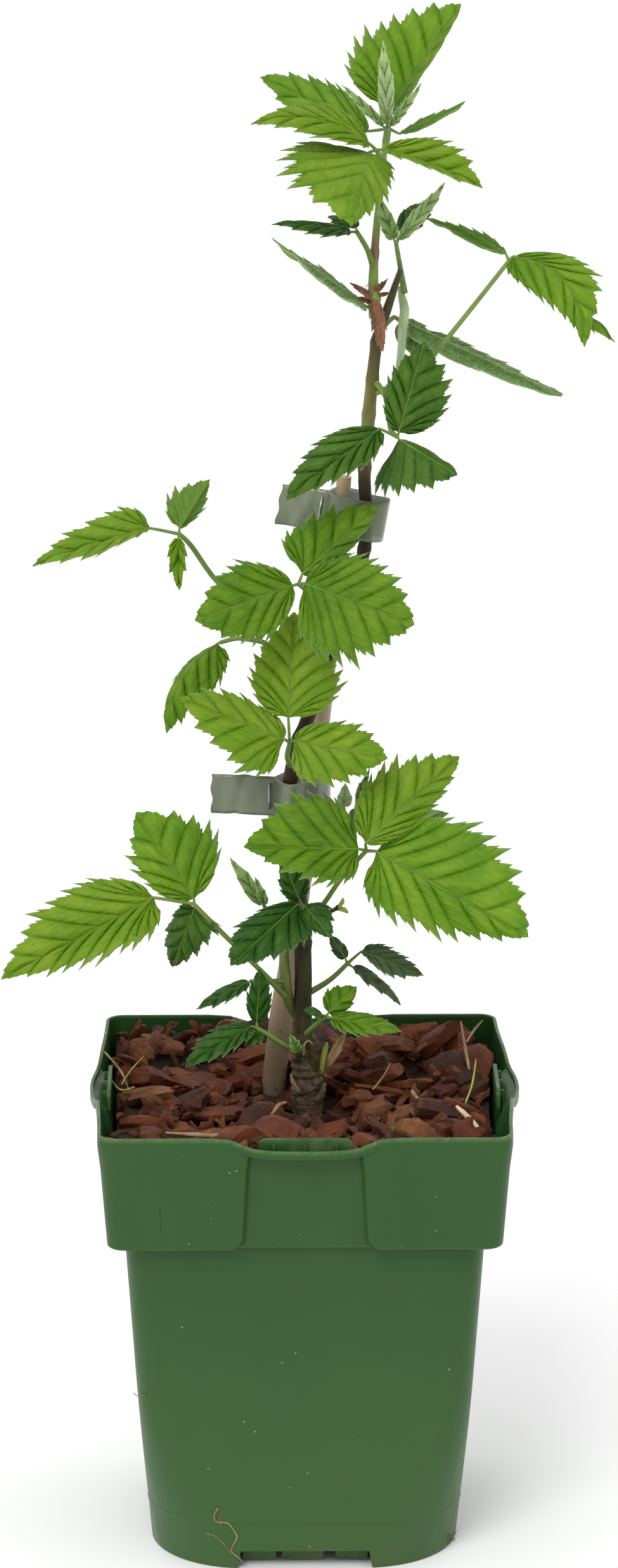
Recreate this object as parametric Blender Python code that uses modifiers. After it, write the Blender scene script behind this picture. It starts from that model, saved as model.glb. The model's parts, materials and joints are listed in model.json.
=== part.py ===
# Potted bramble bush: a young bramble tied to a bamboo cane, in a square nursery pot.
# Sizes are in millimetres and MM turns them into metres. The origin is the middle of the
# pot's underside, +Z is up, and -Y is the side that the photo shows.

import math
import random

import bmesh
import bpy
from mathutils import Euler, Matrix, Vector

MM = 0.001
GAP = 0.35  # between pieces that touch on the real object
SHARP_ANGLE = math.radians(40.0)
SPECK_VOLUME = 0.5

# The pot
POT_HEIGHT = 153.0
WALL = 1.2
RIM_HALF = 66.0
COLLAR_FOOT_HALF = 63.2
COLLAR_FOOT_Z = 114.5
COLLAR_RADIUS = 6.0
BODY_TOP_HALF = 57.8
BODY_TOP_RADIUS = 9.0
BODY_FOOT_HALF = 50.3
BODY_FOOT_RADIUS = 35.0
ROUNDING_Z = 66.0  # below this height the corners grow rounder
BODY_LEVELS = (8.85, 48.0, 113.9)  # heights of the rings that the body and the soil share
PANEL_RECESS = 2.5  # of the middle panel of each side of the collar
LIP_BOW = 3.2  # of the rim in front of the label slot
LIP_DROP = 5.0
LIP_HEIGHT = 4.0
LIP_FOOT_Z = 141.0
TAB_WIDTH = 30.0
TAB_FRONT = 66.0
TAB_THICKNESS = 1.2
TAB_FOOT_Z = 141.6
TAB_RIB_FRONT = 69.0
TAB_RIB_LEVELS = (143.2, 147.2)
TAB_RIB_WIDTH = 1.0
NOTCH_WIDTH = 42.0
NOTCH_HEIGHT = 6.3
FLOOR_Z = 7.0
FLOOR_THICKNESS = 1.5
FOOT_DISC_RADIUS = 13.0
FLOOR_RIB_SIDE = 10.0
FLOOR_RIB_ENDS = (18.0, 44.0)
FLOOR_RIB_WIDTH = 2.0
FLOOR_RIB_LIFT = 0.8
ROOT = 0.5  # how far the ribs and the disc run into what they stand on

# The fill
SOIL_TOP_Z = 133.0
MULCH_BED_Z = 139.3
MULCH_HEAP = 5.0  # how much higher the chips lie toward the walls
MULCH_CHIPS_ACROSS = 6

# The eye point of the photo, so that a place seen there is given by its pixel and its depth
EYE_DISTANCE = 1700.0
EYE_HEIGHT = 707.0
EYE_SIDE = 1.9
EYE_TURN = math.radians(-0.69)
EYE_PITCH = math.radians(15.0)
FOCAL_PIXELS = 8596.0
PHOTO_CENTRE = (487.5, 1237.5)

EYE = Vector((EYE_SIDE + EYE_DISTANCE * math.sin(EYE_TURN), -EYE_DISTANCE * math.cos(EYE_TURN), EYE_HEIGHT))
EYE_RIGHT = Vector((math.cos(EYE_TURN), math.sin(EYE_TURN), 0.0))
EYE_AHEAD = Vector((
    -math.sin(EYE_TURN) * math.cos(EYE_PITCH),
    math.cos(EYE_TURN) * math.cos(EYE_PITCH),
    -math.sin(EYE_PITCH),
))
EYE_UP = EYE_RIGHT.cross(EYE_AHEAD)


def seen(place):
    """The point, in mm, at a place given as (pixel x, pixel y, mm behind the pot's middle)."""
    pixel_x, pixel_y, depth = place
    ray = (
        EYE_AHEAD * FOCAL_PIXELS
        + EYE_RIGHT * (pixel_x - PHOTO_CENTRE[0])
        - EYE_UP * (pixel_y - PHOTO_CENTRE[1])
    )
    return EYE + ray * ((depth - EYE.y) / ray.y)


# Stems: (pixel x, pixel y, depth, radius in mm), from the foot up
MAIN_CANE = (
    (486, 1752, 0, 5.0), (485, 1715, 0, 4.9), (482, 1680, 0, 4.2), (479, 1645, 0, 3.3),
    (478, 1600, 0, 2.9), (478, 1505, 0, 2.8), (474, 1440, 0, 2.7), (463, 1330, -1, 2.5),
    (457, 1245, -2, 2.4), (470, 1175, -1, 2.3), (487, 1130, 0, 2.3), (530, 1000, 2, 2.1),
    (575, 866, 4, 2.0), (575, 745, 4, 2.0), (581, 663, 4, 2.1), (594, 540, 4, 1.8),
    (602, 510, 4, 1.8), (612, 480, 4, 1.7), (620, 452, 4, 1.7), (628, 425, 4, 1.7),
)
MAIN_CANE_FOOT_Z = 70.0
BAMBOO_CANE = (
    (434, 1690, 28, 4.0), (446, 1590, 25, 3.9), (462, 1490, 22, 3.5), (495, 1245, 13, 2.9),
    (510, 1120, 11, 2.6), (528, 940, 10, 2.5), (540, 790, 10, 2.4), (543, 752, 10, 2.4),
)
BAMBOO_CANE_FOOT_Z = 22.0
UPPER_SHOOT = (
    (588, 503, 1.0, 1.2), (590, 474, 1.0, 1.9), (589, 440, 1.5, 1.6), (591, 400, 2, 1.3),
    (595, 350, 2, 1.2), (600, 300, 1, 1.1), (605, 250, 0, 1.0), (608, 224, 0, 0.9),
)
LATERAL_SHOOT = (
    (453, 1618, -3, 1.9), (451, 1594, -3, 2.0), (450, 1540, 0, 1.9), (450, 1490, 5, 1.7),
    (462, 1420, 9, 1.5), (490, 1360, 9, 1.3), (525, 1310, 8, 1.1), (540, 1285, 7, 0.9),
)
YOUNG_SHOOT = (
    (627, 600, 7, 0.9), (633, 553, 8, 1.1), (636, 520, 8, 1.2), (640, 490, 9, 1.4),
    (638, 462, 10, 1.0),
)
CUT_TOP = ((603, 489, 4), (623, 438, 4))  # the low and high ends of its slanted cut
STUBS = (  # the knobs, pruned stubs and buds of the crown, and a twig above them
    ((468, 1716, -1, 3.2), (488, 1700, -2, 4.6), (505, 1712, 0, 3.4)),
    ((470, 1668, 0, 2.4), (482, 1662, -1, 4.2), (497, 1672, 0, 2.6)),
    ((494, 1690, -2, 2.0), (496, 1670, -4, 1.7), (494, 1648, -5, 1.4)),
    ((496, 1704, 1, 1.5), (510, 1672, 1, 1.3), (514, 1648, 1, 0.7)),
    ((498, 1712, 3, 1.5), (524, 1668, 4, 1.2), (545, 1632, 5, 0.6)),
    ((478, 1480, -1, 1.6), (500, 1452, -1, 1.0), (520, 1440, -1, 0.9), (534, 1430, -1, 1.4)),
)


def leaflet(base, tip, left, right, **more):
    """left and right, seen along the rib: (half width across the view in mm, how far its edge
    comes forward in mm, where along the rib it is widest)."""
    sides = [(*side, 0.42)[:3] for side in (left, right)]
    return {"base": base, "tip": tip, "sides": sides, **more}


# Each leaf: where it stands on a stem, the bends of its stalk up to the fork, and its leaflets
# from base to tip.
LEAVES = {
    "leaf_top_back": {
        "stem": (608, 240, 0), "stalk": ((614, 203, 6),),
        "leaflets": (
            leaflet((613, 177, 6), (727, 6, 12), (22.5, -2, 0.36), (2.5, -13), lobe=0.2, teeth=7),
            leaflet((581, 207, 7), (410, 122, 12), (8, 8), (9, -9, 0.5)),
            leaflet((630, 211, 7), (733, 160, 16), (1.2, -8), (1.6, 8), teeth=5),
        ),
    },
    "leaf_top_front": {
        "stem": (606, 262, 0), "stalk": ((594, 237, -7),),
        "leaflets": (
            leaflet((583, 227, -8), (396, 197, -16), (5.5, 7), (6, -6), bend=0.12),
            leaflet((583, 240, -9), (554, 356, -38), (10, -5), (27, -4, 0.46), lobe=0.3, arch=0.12,
                    teeth=7),
            leaflet((606, 236, -7), (761, 297, -15), (10.3, -4, 0.52), (0.8, 9)),
        ),
    },
    "leaf_top_folded": {
        "green": "silver", "stem": (608, 224, 0), "on_top": True, "stalk": ((610, 204, -1),),
        "leaflets": (
            leaflet((611, 197, -2), (605, 64, -4), (2.3, 5), (2.3, 5), teeth=5),
            leaflet((604, 199, -3), (539, 134, -5), (1.5, 3), (1.6, 3), teeth=4),
            leaflet((616, 198, -3), (665, 132, -6), (1.5, 3), (1.5, 3), teeth=4),
        ),
    },
    "leaf_young_right": {
        "green": "silver", "stem": (638, 462, 10), "on_top": True, "stalk": ((632, 425, 8), (625, 385, 2)),
        "leaflets": (
            leaflet((621, 377, 0), (597, 310, -5), (2.6, 4), (2.6, 4), teeth=4),
            leaflet((629, 378, 2), (702, 289, 6), (2, 4), (2.4, 4), teeth=5),
            leaflet((632, 368, 9), (686, 316, 14), (4.8, -3), (3.5, 3), teeth=4),
        ),
    },
    "leaf_young_left": {
        "green": "dark", "stem": (590, 426, 2), "stalk": ((580, 395, -2), (563, 366, -5)),
        "leaflets": (
            leaflet((555, 366, -5), (429, 354, -12), (2.4, 6), (1.9, -6), teeth=5),
            leaflet((562, 360, -1), (518, 341, 6), (2, 4), (3, -4), teeth=4),
        ),
    },
    "leaf_narrow_left": {
        "green": "silver", "stem": (590, 484, 1), "stalk": ((581, 485, -2),),
        "leaflets": (leaflet((579, 484, -2), (428, 375, -10), (2.0, 7, 0.25), (1.6, -7, 0.3)),),
    },
    "leaf_far_right": {
        "stem": (586, 622, 4),
        "stalk": ((640, 600, 2), (690, 553, 3), (803, 412, 8)),
        "leaflets": (
            leaflet((798, 401, 9), (674, 346, 22), (2.2, 6), (2.2, -6), bend=0.05, arch=0.1),
            leaflet((810, 405, 7), (922, 547, -12), (10.5, -3, 0.52), (10, -3, 0.35), bend=-0.2, teeth=7),
            leaflet((816, 414, 12), (971, 541, 18), (2, -5), (2.5, 5), teeth=4),
        ),
    },
    "leaf_long_right": {
        "green": "silver", "stem": (598, 522, 4), "stalk": ((612, 508, 14), (622, 500, 17)),
        "leaflets": (
            leaflet((627, 502, 17), (886, 624, 30), (2.5, -8, 0.6), (4.8, 7, 0.38), teeth=7),
            leaflet((630, 508, 18), (690, 562, 15), (5, -3), (6, 3), teeth=4),
        ),
    },
    "leaf_dark_upper": {
        "green": "dark", "stem": (590, 600, 4),
        "stalk": ((610, 630, -3), (616, 676, -10), (627, 690, -12)),
        "leaflets": (
            leaflet((629, 683, -12), (670, 539, -5), (9, -2, 0.45), (14.2, -3, 0.45)),
            leaflet((599, 677, -14), (452, 788, -28), (7.2, 6, 0.38), (9.5, -5, 0.52)),
            leaflet((629, 693, -13), (720, 749, -34), (1, -12), (18, -3, 0.3), lobe=0.52),
        ),
    },
    "leaf_middle": {
        "stem": (540, 968, 2.6), "stalk": ((505, 948, -9), (471, 922, -18)),
        "leaflets": (
            leaflet((477, 906, -17), (597, 797, -12), (14.5, -3, 0.3), (5.5, -4, 0.5), lobe=0.15),
            leaflet((463, 924, -19), (308, 979, -30), (14.5, -2, 0.5), (14, -4, 0.48)),
            leaflet((480, 921, -22), (652, 985, -50), (16.5, -4, 0.55), (22, -6, 0.45), lobe=0.2,
                    arch=0.1, teeth=7),
        ),
    },
    "leaf_far_left": {
        "stem": (512, 1055, 1.2),
        "stalk": ((430, 1000, 6), (346, 922, 4), (302, 862, 1), (283, 843, 0)),
        "leaflets": (
            leaflet((238, 834, -2), (52, 894, -10), (2.8, 9, 0.55), (10, -6, 0.35), lobe=0.15),
            leaflet((283, 834, 1), (331, 757, 5), (9, -3, 0.38), (3.6, -3, 0.5), teeth=5),
            leaflet((281, 849, -1), (283, 931, -6), (3, 3), (4, 3), teeth=4),
        ),
    },
    "leaf_drooping_left": {
        "green": "dark", "stem": (489, 1125, 0),
        "stalk": ((440, 1030, 9), (385, 1008, 11), (348, 1014, 12)),
        "leaflets": (
            leaflet((343, 1016, 12), (263, 1157, 2), (12, 0, 0.4), (1.5, -9, 0.5), bend=0.14, teeth=7),
        ),
    },
    "leaf_lower_middle": {
        "stem": (462, 1212, -2), "stalk": ((453, 1195, -8), (457, 1172, -13)),
        "leaflets": (
            leaflet((455, 1133, -14), (464, 966, -5), (14.5, -2), (18, -2, 0.4), teeth=7),
            leaflet((449, 1167, -15), (285, 1101, -24), (15.5, 2, 0.33), (8.5, -7, 0.5), lobe=0.25),
            leaflet((463, 1169, -15), (611, 1197, -26), (10, -4, 0.55), (14, -3, 0.38), lobe=0.2),
        ),
    },
    "leaf_lower_right": {
        "stem": (476, 1452, 0),
        "stalk": ((506, 1432, -8), (540, 1384, -13), (578, 1343, -17)),
        "leaflets": (
            leaflet((566, 1340, -19), (385, 1337, -30), (12.5, 4, 0.35), (20, -6, 0.45), lobe=0.1, teeth=7),
            leaflet((577, 1331, -21), (724, 1194, -8), (16, -3), (8, -3, 0.5)),
            leaflet((594, 1344, -18), (833, 1479, -34), (25, -4, 0.5), (17.5, -6, 0.33), lobe=0.22,
                    teeth=7),
        ),
    },
    "leaf_lower_left": {
        "stem": (450, 1572, -2),
        "stalk": ((405, 1526, -4), (350, 1472, -5), (306, 1427, -6)),
        "leaflets": (
            leaflet((243, 1417, -8), (2, 1546, -24), (11.5, 6, 0.3), (17.5, -7, 0.45), lobe=0.04, teeth=7),
            leaflet((306, 1419, -5), (215, 1282, 2), (12, -2, 0.5), (19, -2, 0.45)),
            leaflet((307, 1434, -3), (272, 1526, 8), (10, 3, 0.22), (7, -4, 0.55), lobe=0.4, teeth=5),
        ),
    },
    "leaf_dark_lower": {
        "green": "dark", "stem": (475, 1474, 0), "stalk": ((477, 1446, -8), (476, 1428, -11)),
        "leaflets": (
            leaflet((469, 1428, -12), (364, 1524, -32), (12, 2, 0.35), (9, -4, 0.6), lobe=0.15),
            leaflet((481, 1430, -12), (523, 1481, -34), (6.5, -3, 0.5), (3.8, -3, 0.5), arch=0.15, teeth=4),
            leaflet((473, 1421, -10), (446, 1358, -6), (5, -2), (6, -2), teeth=4),
        ),
    },
    "leaf_bud_left": {
        "green": "silver", "stem": (450, 1500, 4), "stalk": ((432, 1460, 3), (418, 1434, 2)),
        "leaflets": (
            leaflet((414, 1427, 2), (363, 1354, 0), (2.2, 3), (2, 3), teeth=4),
            leaflet((418, 1427, 0), (402, 1384, -4), (1.5, 2), (1.6, 2), teeth=3),
        ),
    },
    "leaf_dull_right": {
        "green": "dull", "stem": (479, 1572, 0), "stalk": ((520, 1547, 3), (548, 1521, 4)),
        "leaflets": (
            leaflet((570, 1502, 4), (668, 1540, -3), (5, -5, 0.35), (4.5, 6, 0.6), arch=0.12),
            leaflet((556, 1526, 3), (632, 1586, -3), (3, -5), (1.6, 5), teeth=4),
            leaflet((545, 1513, 5), (521, 1476, 8), (2.5, -2), (2.5, -2), teeth=3),
        ),
    },
    "leaf_crown_right": {
        "stem": (479, 1636, 0), "stalk": ((498, 1618, -9), (515, 1604, -10)),
        "leaflets": (
            leaflet((518, 1599, -8), (563, 1558, -4), (6.5, -2), (4, -2), teeth=4),
            leaflet((522, 1606, -11), (634, 1628, -18), (4, -5), (4.6, 5), teeth=5),
            leaflet((509, 1602, -12), (480, 1594, -15), (2, 3), (1.6, -3), teeth=3),
        ),
    },
    "leaf_crown_left": {
        "green": "dark", "stem": (480, 1662, 0),
        "stalk": ((452, 1652, -10), (424, 1634, -13), (406, 1623, -13)),
        "leaflets": (
            leaflet((398, 1620, -14), (293, 1685, -27), (4, 6), (6.2, -5, 0.48), teeth=5),
            leaflet((405, 1614, -12), (410, 1529, -13), (4, -2), (4.8, -2), teeth=5),
            leaflet((407, 1629, -15), (386, 1652, -21), (3.5, 2), (2, 2), teeth=3),
        ),
    },
    "leaf_low_left_small": {
        "green": "dark", "stem": (450, 1548, -1), "stalk": ((420, 1550, -1), (395, 1549, 2)),
        "leaflets": (leaflet((393, 1550, 2), (310, 1593, -2), (3, 5), (2.6, -5), teeth=5),),
    },
    "leaf_small_behind": {
        "green": "silver", "stem": (534, 1298, 7), "stalk": ((556, 1288, 4), (564, 1270, 3)),
        "leaflets": (
            leaflet((565, 1262, 3), (583, 1214, 2), (1.8, 3), (1.8, 3), teeth=3),
            leaflet((561, 1276, 1), (558, 1318, -2), (2.2, -2), (2.5, -2), teeth=3),
            leaflet((620, 1304, 9), (708, 1284, 11), (4, -2), (3, 2), teeth=4),
        ),
    },
    "leaf_bud_middle": {
        "green": "silver", "stem": (540, 1285, 7), "on_top": True, "stalk": ((542, 1276, 6),),
        "leaflets": (leaflet((543, 1272, 6), (545, 1238, 4), (2.4, 3), (2.4, 3), teeth=3),),
    },
}
# The dry sheath that hangs from the upper shoot's node, and its stipules
SHEATHS = (
    leaflet((595, 480, -0.3), (604, 553, -3), (1.7, -1), (1.7, 1), teeth=3),
    leaflet((588, 462, 0.5), (554, 447, -4), (1.0, 1), (0.8, 0), teeth=2),
    leaflet((592, 456, 0.5), (611, 440, -3), (0.9, 1), (0.9, 0), teeth=2),
)
LEAF_GREENS = {
    "bright": (0.110, 0.260, 0.030), "dark": (0.035, 0.130, 0.030), "dull": (0.090, 0.130, 0.075),
    "silver": (0.200, 0.290, 0.130),
}
LEAF_THICKNESS = 0.65
STALK_RADIUS = 0.9
STALKLET_RADIUS = 0.65

# Tie tapes: the pieces that each loops round, its height and its tail
TIES = {
    "tie_lower": {
        "loop": ((438, 1257, 1), (446, 1257, -6), (466, 1257, -8), (506, 1257, 3), (521, 1257, 12),
                 (512, 1257, 20), (484, 1257, 20), (452, 1257, 8)),
        "tail": (334, 1257, 5), "lean": 0.0, "slope": 0.0,
    },
    "tie_upper": {
        "loop": ((518, 806, 10), (524, 806, 4), (572, 806, -1), (604, 806, 0), (608, 806, 7),
                 (582, 806, 10), (558, 806, 16), (528, 806, 17)),
        "tail": (440, 800, 13), "lean": 0.18, "slope": -0.1,
    },
}
TAPE_HEIGHT = 13.0
TAPE_THICKNESS = 0.6
STAPLE_RADIUS = 0.4
STAPLE_HEIGHT = 8.0
STAPLE_HOLE = 1.6
STAPLE_AWAY = 2.6  # from where the loop starts


def clear_scene():
    for thing in list(bpy.data.objects):
        bpy.data.objects.remove(thing)


def new_collection(name):
    made = bpy.data.collections.new(name)
    bpy.context.scene.collection.children.link(made)
    return made


def dress(piece, name, colour, roughness):
    """Gives a piece one plain material of its own, and smooth shading up to its sharp edges."""
    piece.data.shade_smooth()
    piece.data.set_sharp_from_angle(angle=SHARP_ANGLE)
    material = bpy.data.materials.new(name)
    material.use_nodes = True
    shader = material.node_tree.nodes["Principled BSDF"]
    shader.inputs["Base Color"].default_value = (*colour, 1.0)
    shader.inputs["Roughness"].default_value = roughness
    shader.inputs["Metallic"].default_value = 0.0
    piece.data.materials.clear()
    piece.data.materials.append(material)


def new_object(name, mesh, collection):
    made = bpy.data.objects.new(name, mesh)
    collection.objects.link(made)
    return made


def evaluated_mesh(piece):
    graph = bpy.context.evaluated_depsgraph_get()
    graph.update()
    return bpy.data.meshes.new_from_object(piece.evaluated_get(graph), depsgraph=graph)


def apply_modifiers(piece):
    mesh = evaluated_mesh(piece)
    piece.modifiers.clear()
    piece.data = mesh


def mesh_of(fill):
    """A mesh made by a function that fills a bmesh in mm."""
    shape = bmesh.new()
    fill(shape)
    bmesh.ops.scale(shape, vec=(MM, MM, MM), verts=shape.verts)
    mesh = bpy.data.meshes.new("shape")
    shape.to_mesh(mesh)
    shape.free()
    return mesh


def box(name, low, high, collection):
    def fill(shape):
        bmesh.ops.create_cube(shape, size=1.0)
        size = Vector(high) - Vector(low)
        middle = (Vector(high) + Vector(low)) / 2
        bmesh.ops.transform(
            shape, matrix=Matrix.Translation(middle) @ Matrix.Diagonal((*size, 1.0)), verts=shape.verts
        )

    return new_object(name, mesh_of(fill), collection)


def loft(name, rings, collection, capped=True):
    """A skin through closed rings of equal length, the lowest first."""

    def fill(shape):
        rows = [[shape.verts.new(point) for point in ring] for ring in rings]
        for lower, upper in zip(rows, rows[1:]):
            for i in range(len(lower)):
                j = (i + 1) % len(lower)
                shape.faces.new((lower[i], lower[j], upper[j], upper[i]))
        if capped:
            shape.faces.new(list(reversed(rows[0])))
            shape.faces.new(rows[-1])

    return new_object(name, mesh_of(fill), collection)


def tube(name, points, collection, extra=0.0, sides=6):
    """A solid stem through (point, radius) pairs, as a closed mesh. Its foot and top are flat."""
    curve = bpy.data.curves.new(name, "CURVE")
    curve.dimensions = "3D"
    curve.bevel_depth = MM
    curve.bevel_resolution = (sides - 4) // 2
    curve.use_fill_caps = True
    spline = curve.splines.new("POLY")
    spline.points.add(len(points) - 1)
    for node, (point, radius) in zip(spline.points, points):
        node.co = (*(point * MM), 1.0)
        node.radius = radius + extra
    guide = new_object(name + "_guide", curve, collection)
    mesh = evaluated_mesh(guide)
    bpy.data.objects.remove(guide)
    shape = bmesh.new()
    shape.from_mesh(mesh)
    bmesh.ops.remove_doubles(shape, verts=shape.verts, dist=0.00001)
    bmesh.ops.recalc_face_normals(shape, faces=shape.faces)
    shape.to_mesh(mesh)
    shape.free()
    return new_object(name, mesh, collection)


def smooth_path(points, steps):
    """Points along a smooth curve through the given (point, radius) pairs."""
    path = []
    for i in range(len(points) - 1):
        a, d = points[max(i - 1, 0)][0], points[min(i + 2, len(points) - 1)][0]
        (b, rb), (c, rc) = points[i], points[i + 1]
        for step in range(steps):
            t = step / steps
            square, cube = a * 2 - b * 5 + c * 4 - d, b * 3 - a - c * 3 + d
            place = (b * 2 + (c - a) * t + square * t ** 2 + cube * t ** 3) / 2
            path.append((place, rb + (rc - rb) * t))
    path.append(points[-1])
    return path


def stem_path(places, foot_z=None, steps=1):
    """(point, radius) pairs of a stem, led straight down to foot_z where it stands in the soil."""
    path = [(seen(place[:3]), place[3]) for place in places]
    if foot_z is not None:
        foot, radius = path[0]
        lean = (foot - path[1][0]) / (foot.z - path[1][0].z)
        path.insert(0, (foot + lean * (foot_z - foot.z), radius))
    return smooth_path(path, steps) if steps > 1 else path


def drop_specks(piece):
    """Removes the closed specks, under SPECK_VOLUME, that a union can leave where blades cross."""
    shape = bmesh.new()
    shape.from_mesh(piece.data)
    left = set(shape.verts)
    while left:
        island, border = set(), [left.pop()]
        while border:
            vert = border.pop()
            island.add(vert)
            near = {edge.other_vert(vert) for edge in vert.link_edges} & left
            left -= near
            border.extend(near)
        faces = {face for vert in island for face in vert.link_faces}
        volume = sum(
            face.calc_area() * face.normal.dot(face.calc_center_median()) / 3 for face in faces
        )
        if abs(volume) < SPECK_VOLUME * MM ** 3:
            bmesh.ops.delete(shape, geom=list(island), context="VERTS")
    shape.to_mesh(piece.data)
    shape.free()


def join(piece, joined, solver="EXACT"):
    """Joins the collection's objects to the piece with one Boolean union, then removes them."""
    union = piece.modifiers.new("join", "BOOLEAN")
    union.operand_type = "COLLECTION"
    union.operation = "UNION"
    union.solver = solver
    union.collection = joined
    apply_modifiers(piece)
    drop_specks(piece)
    for thing in list(joined.objects):
        bpy.data.objects.remove(thing)
    bpy.data.collections.remove(joined)


def cut(piece, cutter, operation="DIFFERENCE", solver="EXACT"):
    cutting = piece.modifiers.new("cut", "BOOLEAN")
    cutting.operation = operation
    cutting.solver = solver
    cutting.object = cutter
    apply_modifiers(piece)
    bpy.data.objects.remove(cutter)


def smoothstep(low, high, value):
    t = min(max((value - low) / (high - low), 0.0), 1.0)
    return t * t * (3 - 2 * t)


# Fractions of a quarter of the pot's outline where its skin has points. They are closer
# together at the edges of the recessed panel and at the corner.
STATIONS = (0.0, 0.145, 0.165, 0.22, 0.34, 0.464, 0.536, 0.66, 0.78, 0.835, 0.855)


def rounded_square(half, radius):
    """(point, outward normal, distance from the middle of its side) at each station."""
    found = []
    flat = half - radius
    arc = radius * math.pi / 2
    for quarter in range(4):
        for station in STATIONS:
            along = station * (2 * flat + arc)
            if along <= flat:
                point, normal = Vector((half, along, 0)), Vector((1, 0, 0))
            elif along < flat + arc:
                angle = (along - flat) / radius
                normal = Vector((math.cos(angle), math.sin(angle), 0))
                point = Vector((flat, flat, 0)) + normal * radius
            else:
                point, normal = Vector((2 * flat + arc - along, half, 0)), Vector((0, 1, 0))
            turn = Matrix.Rotation(quarter * math.pi / 2, 3, "Z")
            found.append((turn @ point, turn @ normal, min(along, 2 * flat + arc - along)))
    return found


def collar_half(z):
    part = (z - COLLAR_FOOT_Z) / (POT_HEIGHT - COLLAR_FOOT_Z)
    return COLLAR_FOOT_HALF + (RIM_HALF - COLLAR_FOOT_HALF) * part


def collar_ring(z, inset=0.0, lip=False):
    """A ring of the collar: its middle panel is recessed or, at the rim, bowed out and lower."""
    ring = []
    for point, normal, away in rounded_square(collar_half(z), COLLAR_RADIUS):
        if lip:
            bow = max(1 - (away / 21.0) ** 2, 0.0)
            point = point + normal * (LIP_BOW * bow)
            height = z - LIP_DROP * (1 - smoothstep(14, 27, away))
        else:
            point = point - normal * (PANEL_RECESS * (1 - smoothstep(18.9, 21.2, away)))
            height = z
        ring.append(point - normal * inset + Vector((0, 0, height)))
    return ring


def body_ring(z, inset=0.0):
    part = z / COLLAR_FOOT_Z
    half = BODY_FOOT_HALF + (BODY_TOP_HALF - BODY_FOOT_HALF) * part
    radius = BODY_TOP_RADIUS + (BODY_FOOT_RADIUS - BODY_TOP_RADIUS) * (1 - smoothstep(-20, ROUNDING_Z, z))
    return [point - normal * inset + Vector((0, 0, z)) for point, normal, _ in rounded_square(half, radius)]


def make_pot(parts):
    rings = [body_ring(z) for z in (0, *BODY_LEVELS)]
    rings += [collar_ring(COLLAR_FOOT_Z), collar_ring(LIP_FOOT_Z)]
    rings += [collar_ring(POT_HEIGHT - LIP_HEIGHT, lip=True), collar_ring(POT_HEIGHT, lip=True)]
    pot = loft("pot", rings, parts, capped=False)
    shell = pot.modifiers.new("wall", "SOLIDIFY")
    shell.thickness = WALL * MM
    shell.offset = -1.0
    shell.use_even_offset = True
    apply_modifiers(pot)
    half = NOTCH_WIDTH / 2
    cut(pot, box("notch", (-half, -80, -1), (half, 80, NOTCH_HEIGHT), parts))
    cut(pot, box("notch", (-80, -half, -1), (80, half, NOTCH_HEIGHT), parts))
    extras = new_collection("pot_extras")
    floor_rings = [body_ring(FLOOR_Z, WALL * 0.6), body_ring(FLOOR_Z + FLOOR_THICKNESS, WALL * 0.6)]
    loft("floor", floor_rings, extras)
    for side in range(4):
        turn = Matrix.Rotation(side * math.pi / 2, 4, "Z")
        half = TAB_WIDTH / 2
        add_turned_box(
            extras, turn, (-half, -TAB_FRONT, TAB_FOOT_Z), (half, TAB_THICKNESS - TAB_FRONT, POT_HEIGHT)
        )
        for rib in (-1, 1):
            middle, half = rib * TAB_WIDTH / 3, TAB_RIB_WIDTH / 2
            low, high = TAB_RIB_LEVELS
            add_turned_box(
                extras, turn, (middle - half, -TAB_RIB_FRONT, low), (middle + half, ROOT - TAB_FRONT, high)
            )
            middle, half = rib * FLOOR_RIB_SIDE, FLOOR_RIB_WIDTH / 2
            near, far = FLOOR_RIB_ENDS
            add_turned_box(
                extras, turn, (middle - half, -far, FLOOR_RIB_LIFT), (middle + half, -near, FLOOR_Z + ROOT)
            )
    disc = mesh_of(
        lambda shape: bmesh.ops.create_cone(
            shape, cap_ends=True, segments=24, radius1=FOOT_DISC_RADIUS, radius2=FOOT_DISC_RADIUS,
            depth=FLOOR_Z + ROOT, matrix=Matrix.Translation((0, 0, (FLOOR_Z + ROOT) / 2)),
        )
    )
    new_object("foot_disc", disc, extras)
    join(pot, extras)
    dress(pot, "pot_plastic", (0.052, 0.140, 0.040), 0.45)


def add_turned_box(collection, turn, low, high):
    made = box("extra", low, high, collection)
    made.data.transform(turn)
    return made


def standing_stems(collection, extra):
    """The buried and standing stretches of cane and stake, as cutters that are a little wider."""
    for name, places, foot_z in (
        ("main", MAIN_CANE[:5], MAIN_CANE_FOOT_Z), ("bamboo", BAMBOO_CANE[:3], BAMBOO_CANE_FOOT_Z)
    ):
        path = stem_path(places, foot_z)
        point, radius = path[0]
        path[0] = (point + Vector((0, 0, -GAP)), radius)
        yield tube(name + "_hole", path, collection, extra=extra, sides=12)


def make_soil(parts):
    inset = WALL + 0.6
    rings = [body_ring(z, inset) for z in BODY_LEVELS]
    rings.append(body_ring(COLLAR_FOOT_Z + WALL + 0.6, inset))
    rings += [collar_ring(COLLAR_FOOT_Z + WALL + 0.9, inset), collar_ring(SOIL_TOP_Z, inset)]
    soil = loft("potting_soil", rings, parts)
    for cutter in list(standing_stems(parts, GAP)):
        cut(soil, cutter)
    dress(soil, "soil", (0.020, 0.012, 0.008), 0.95)


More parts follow.
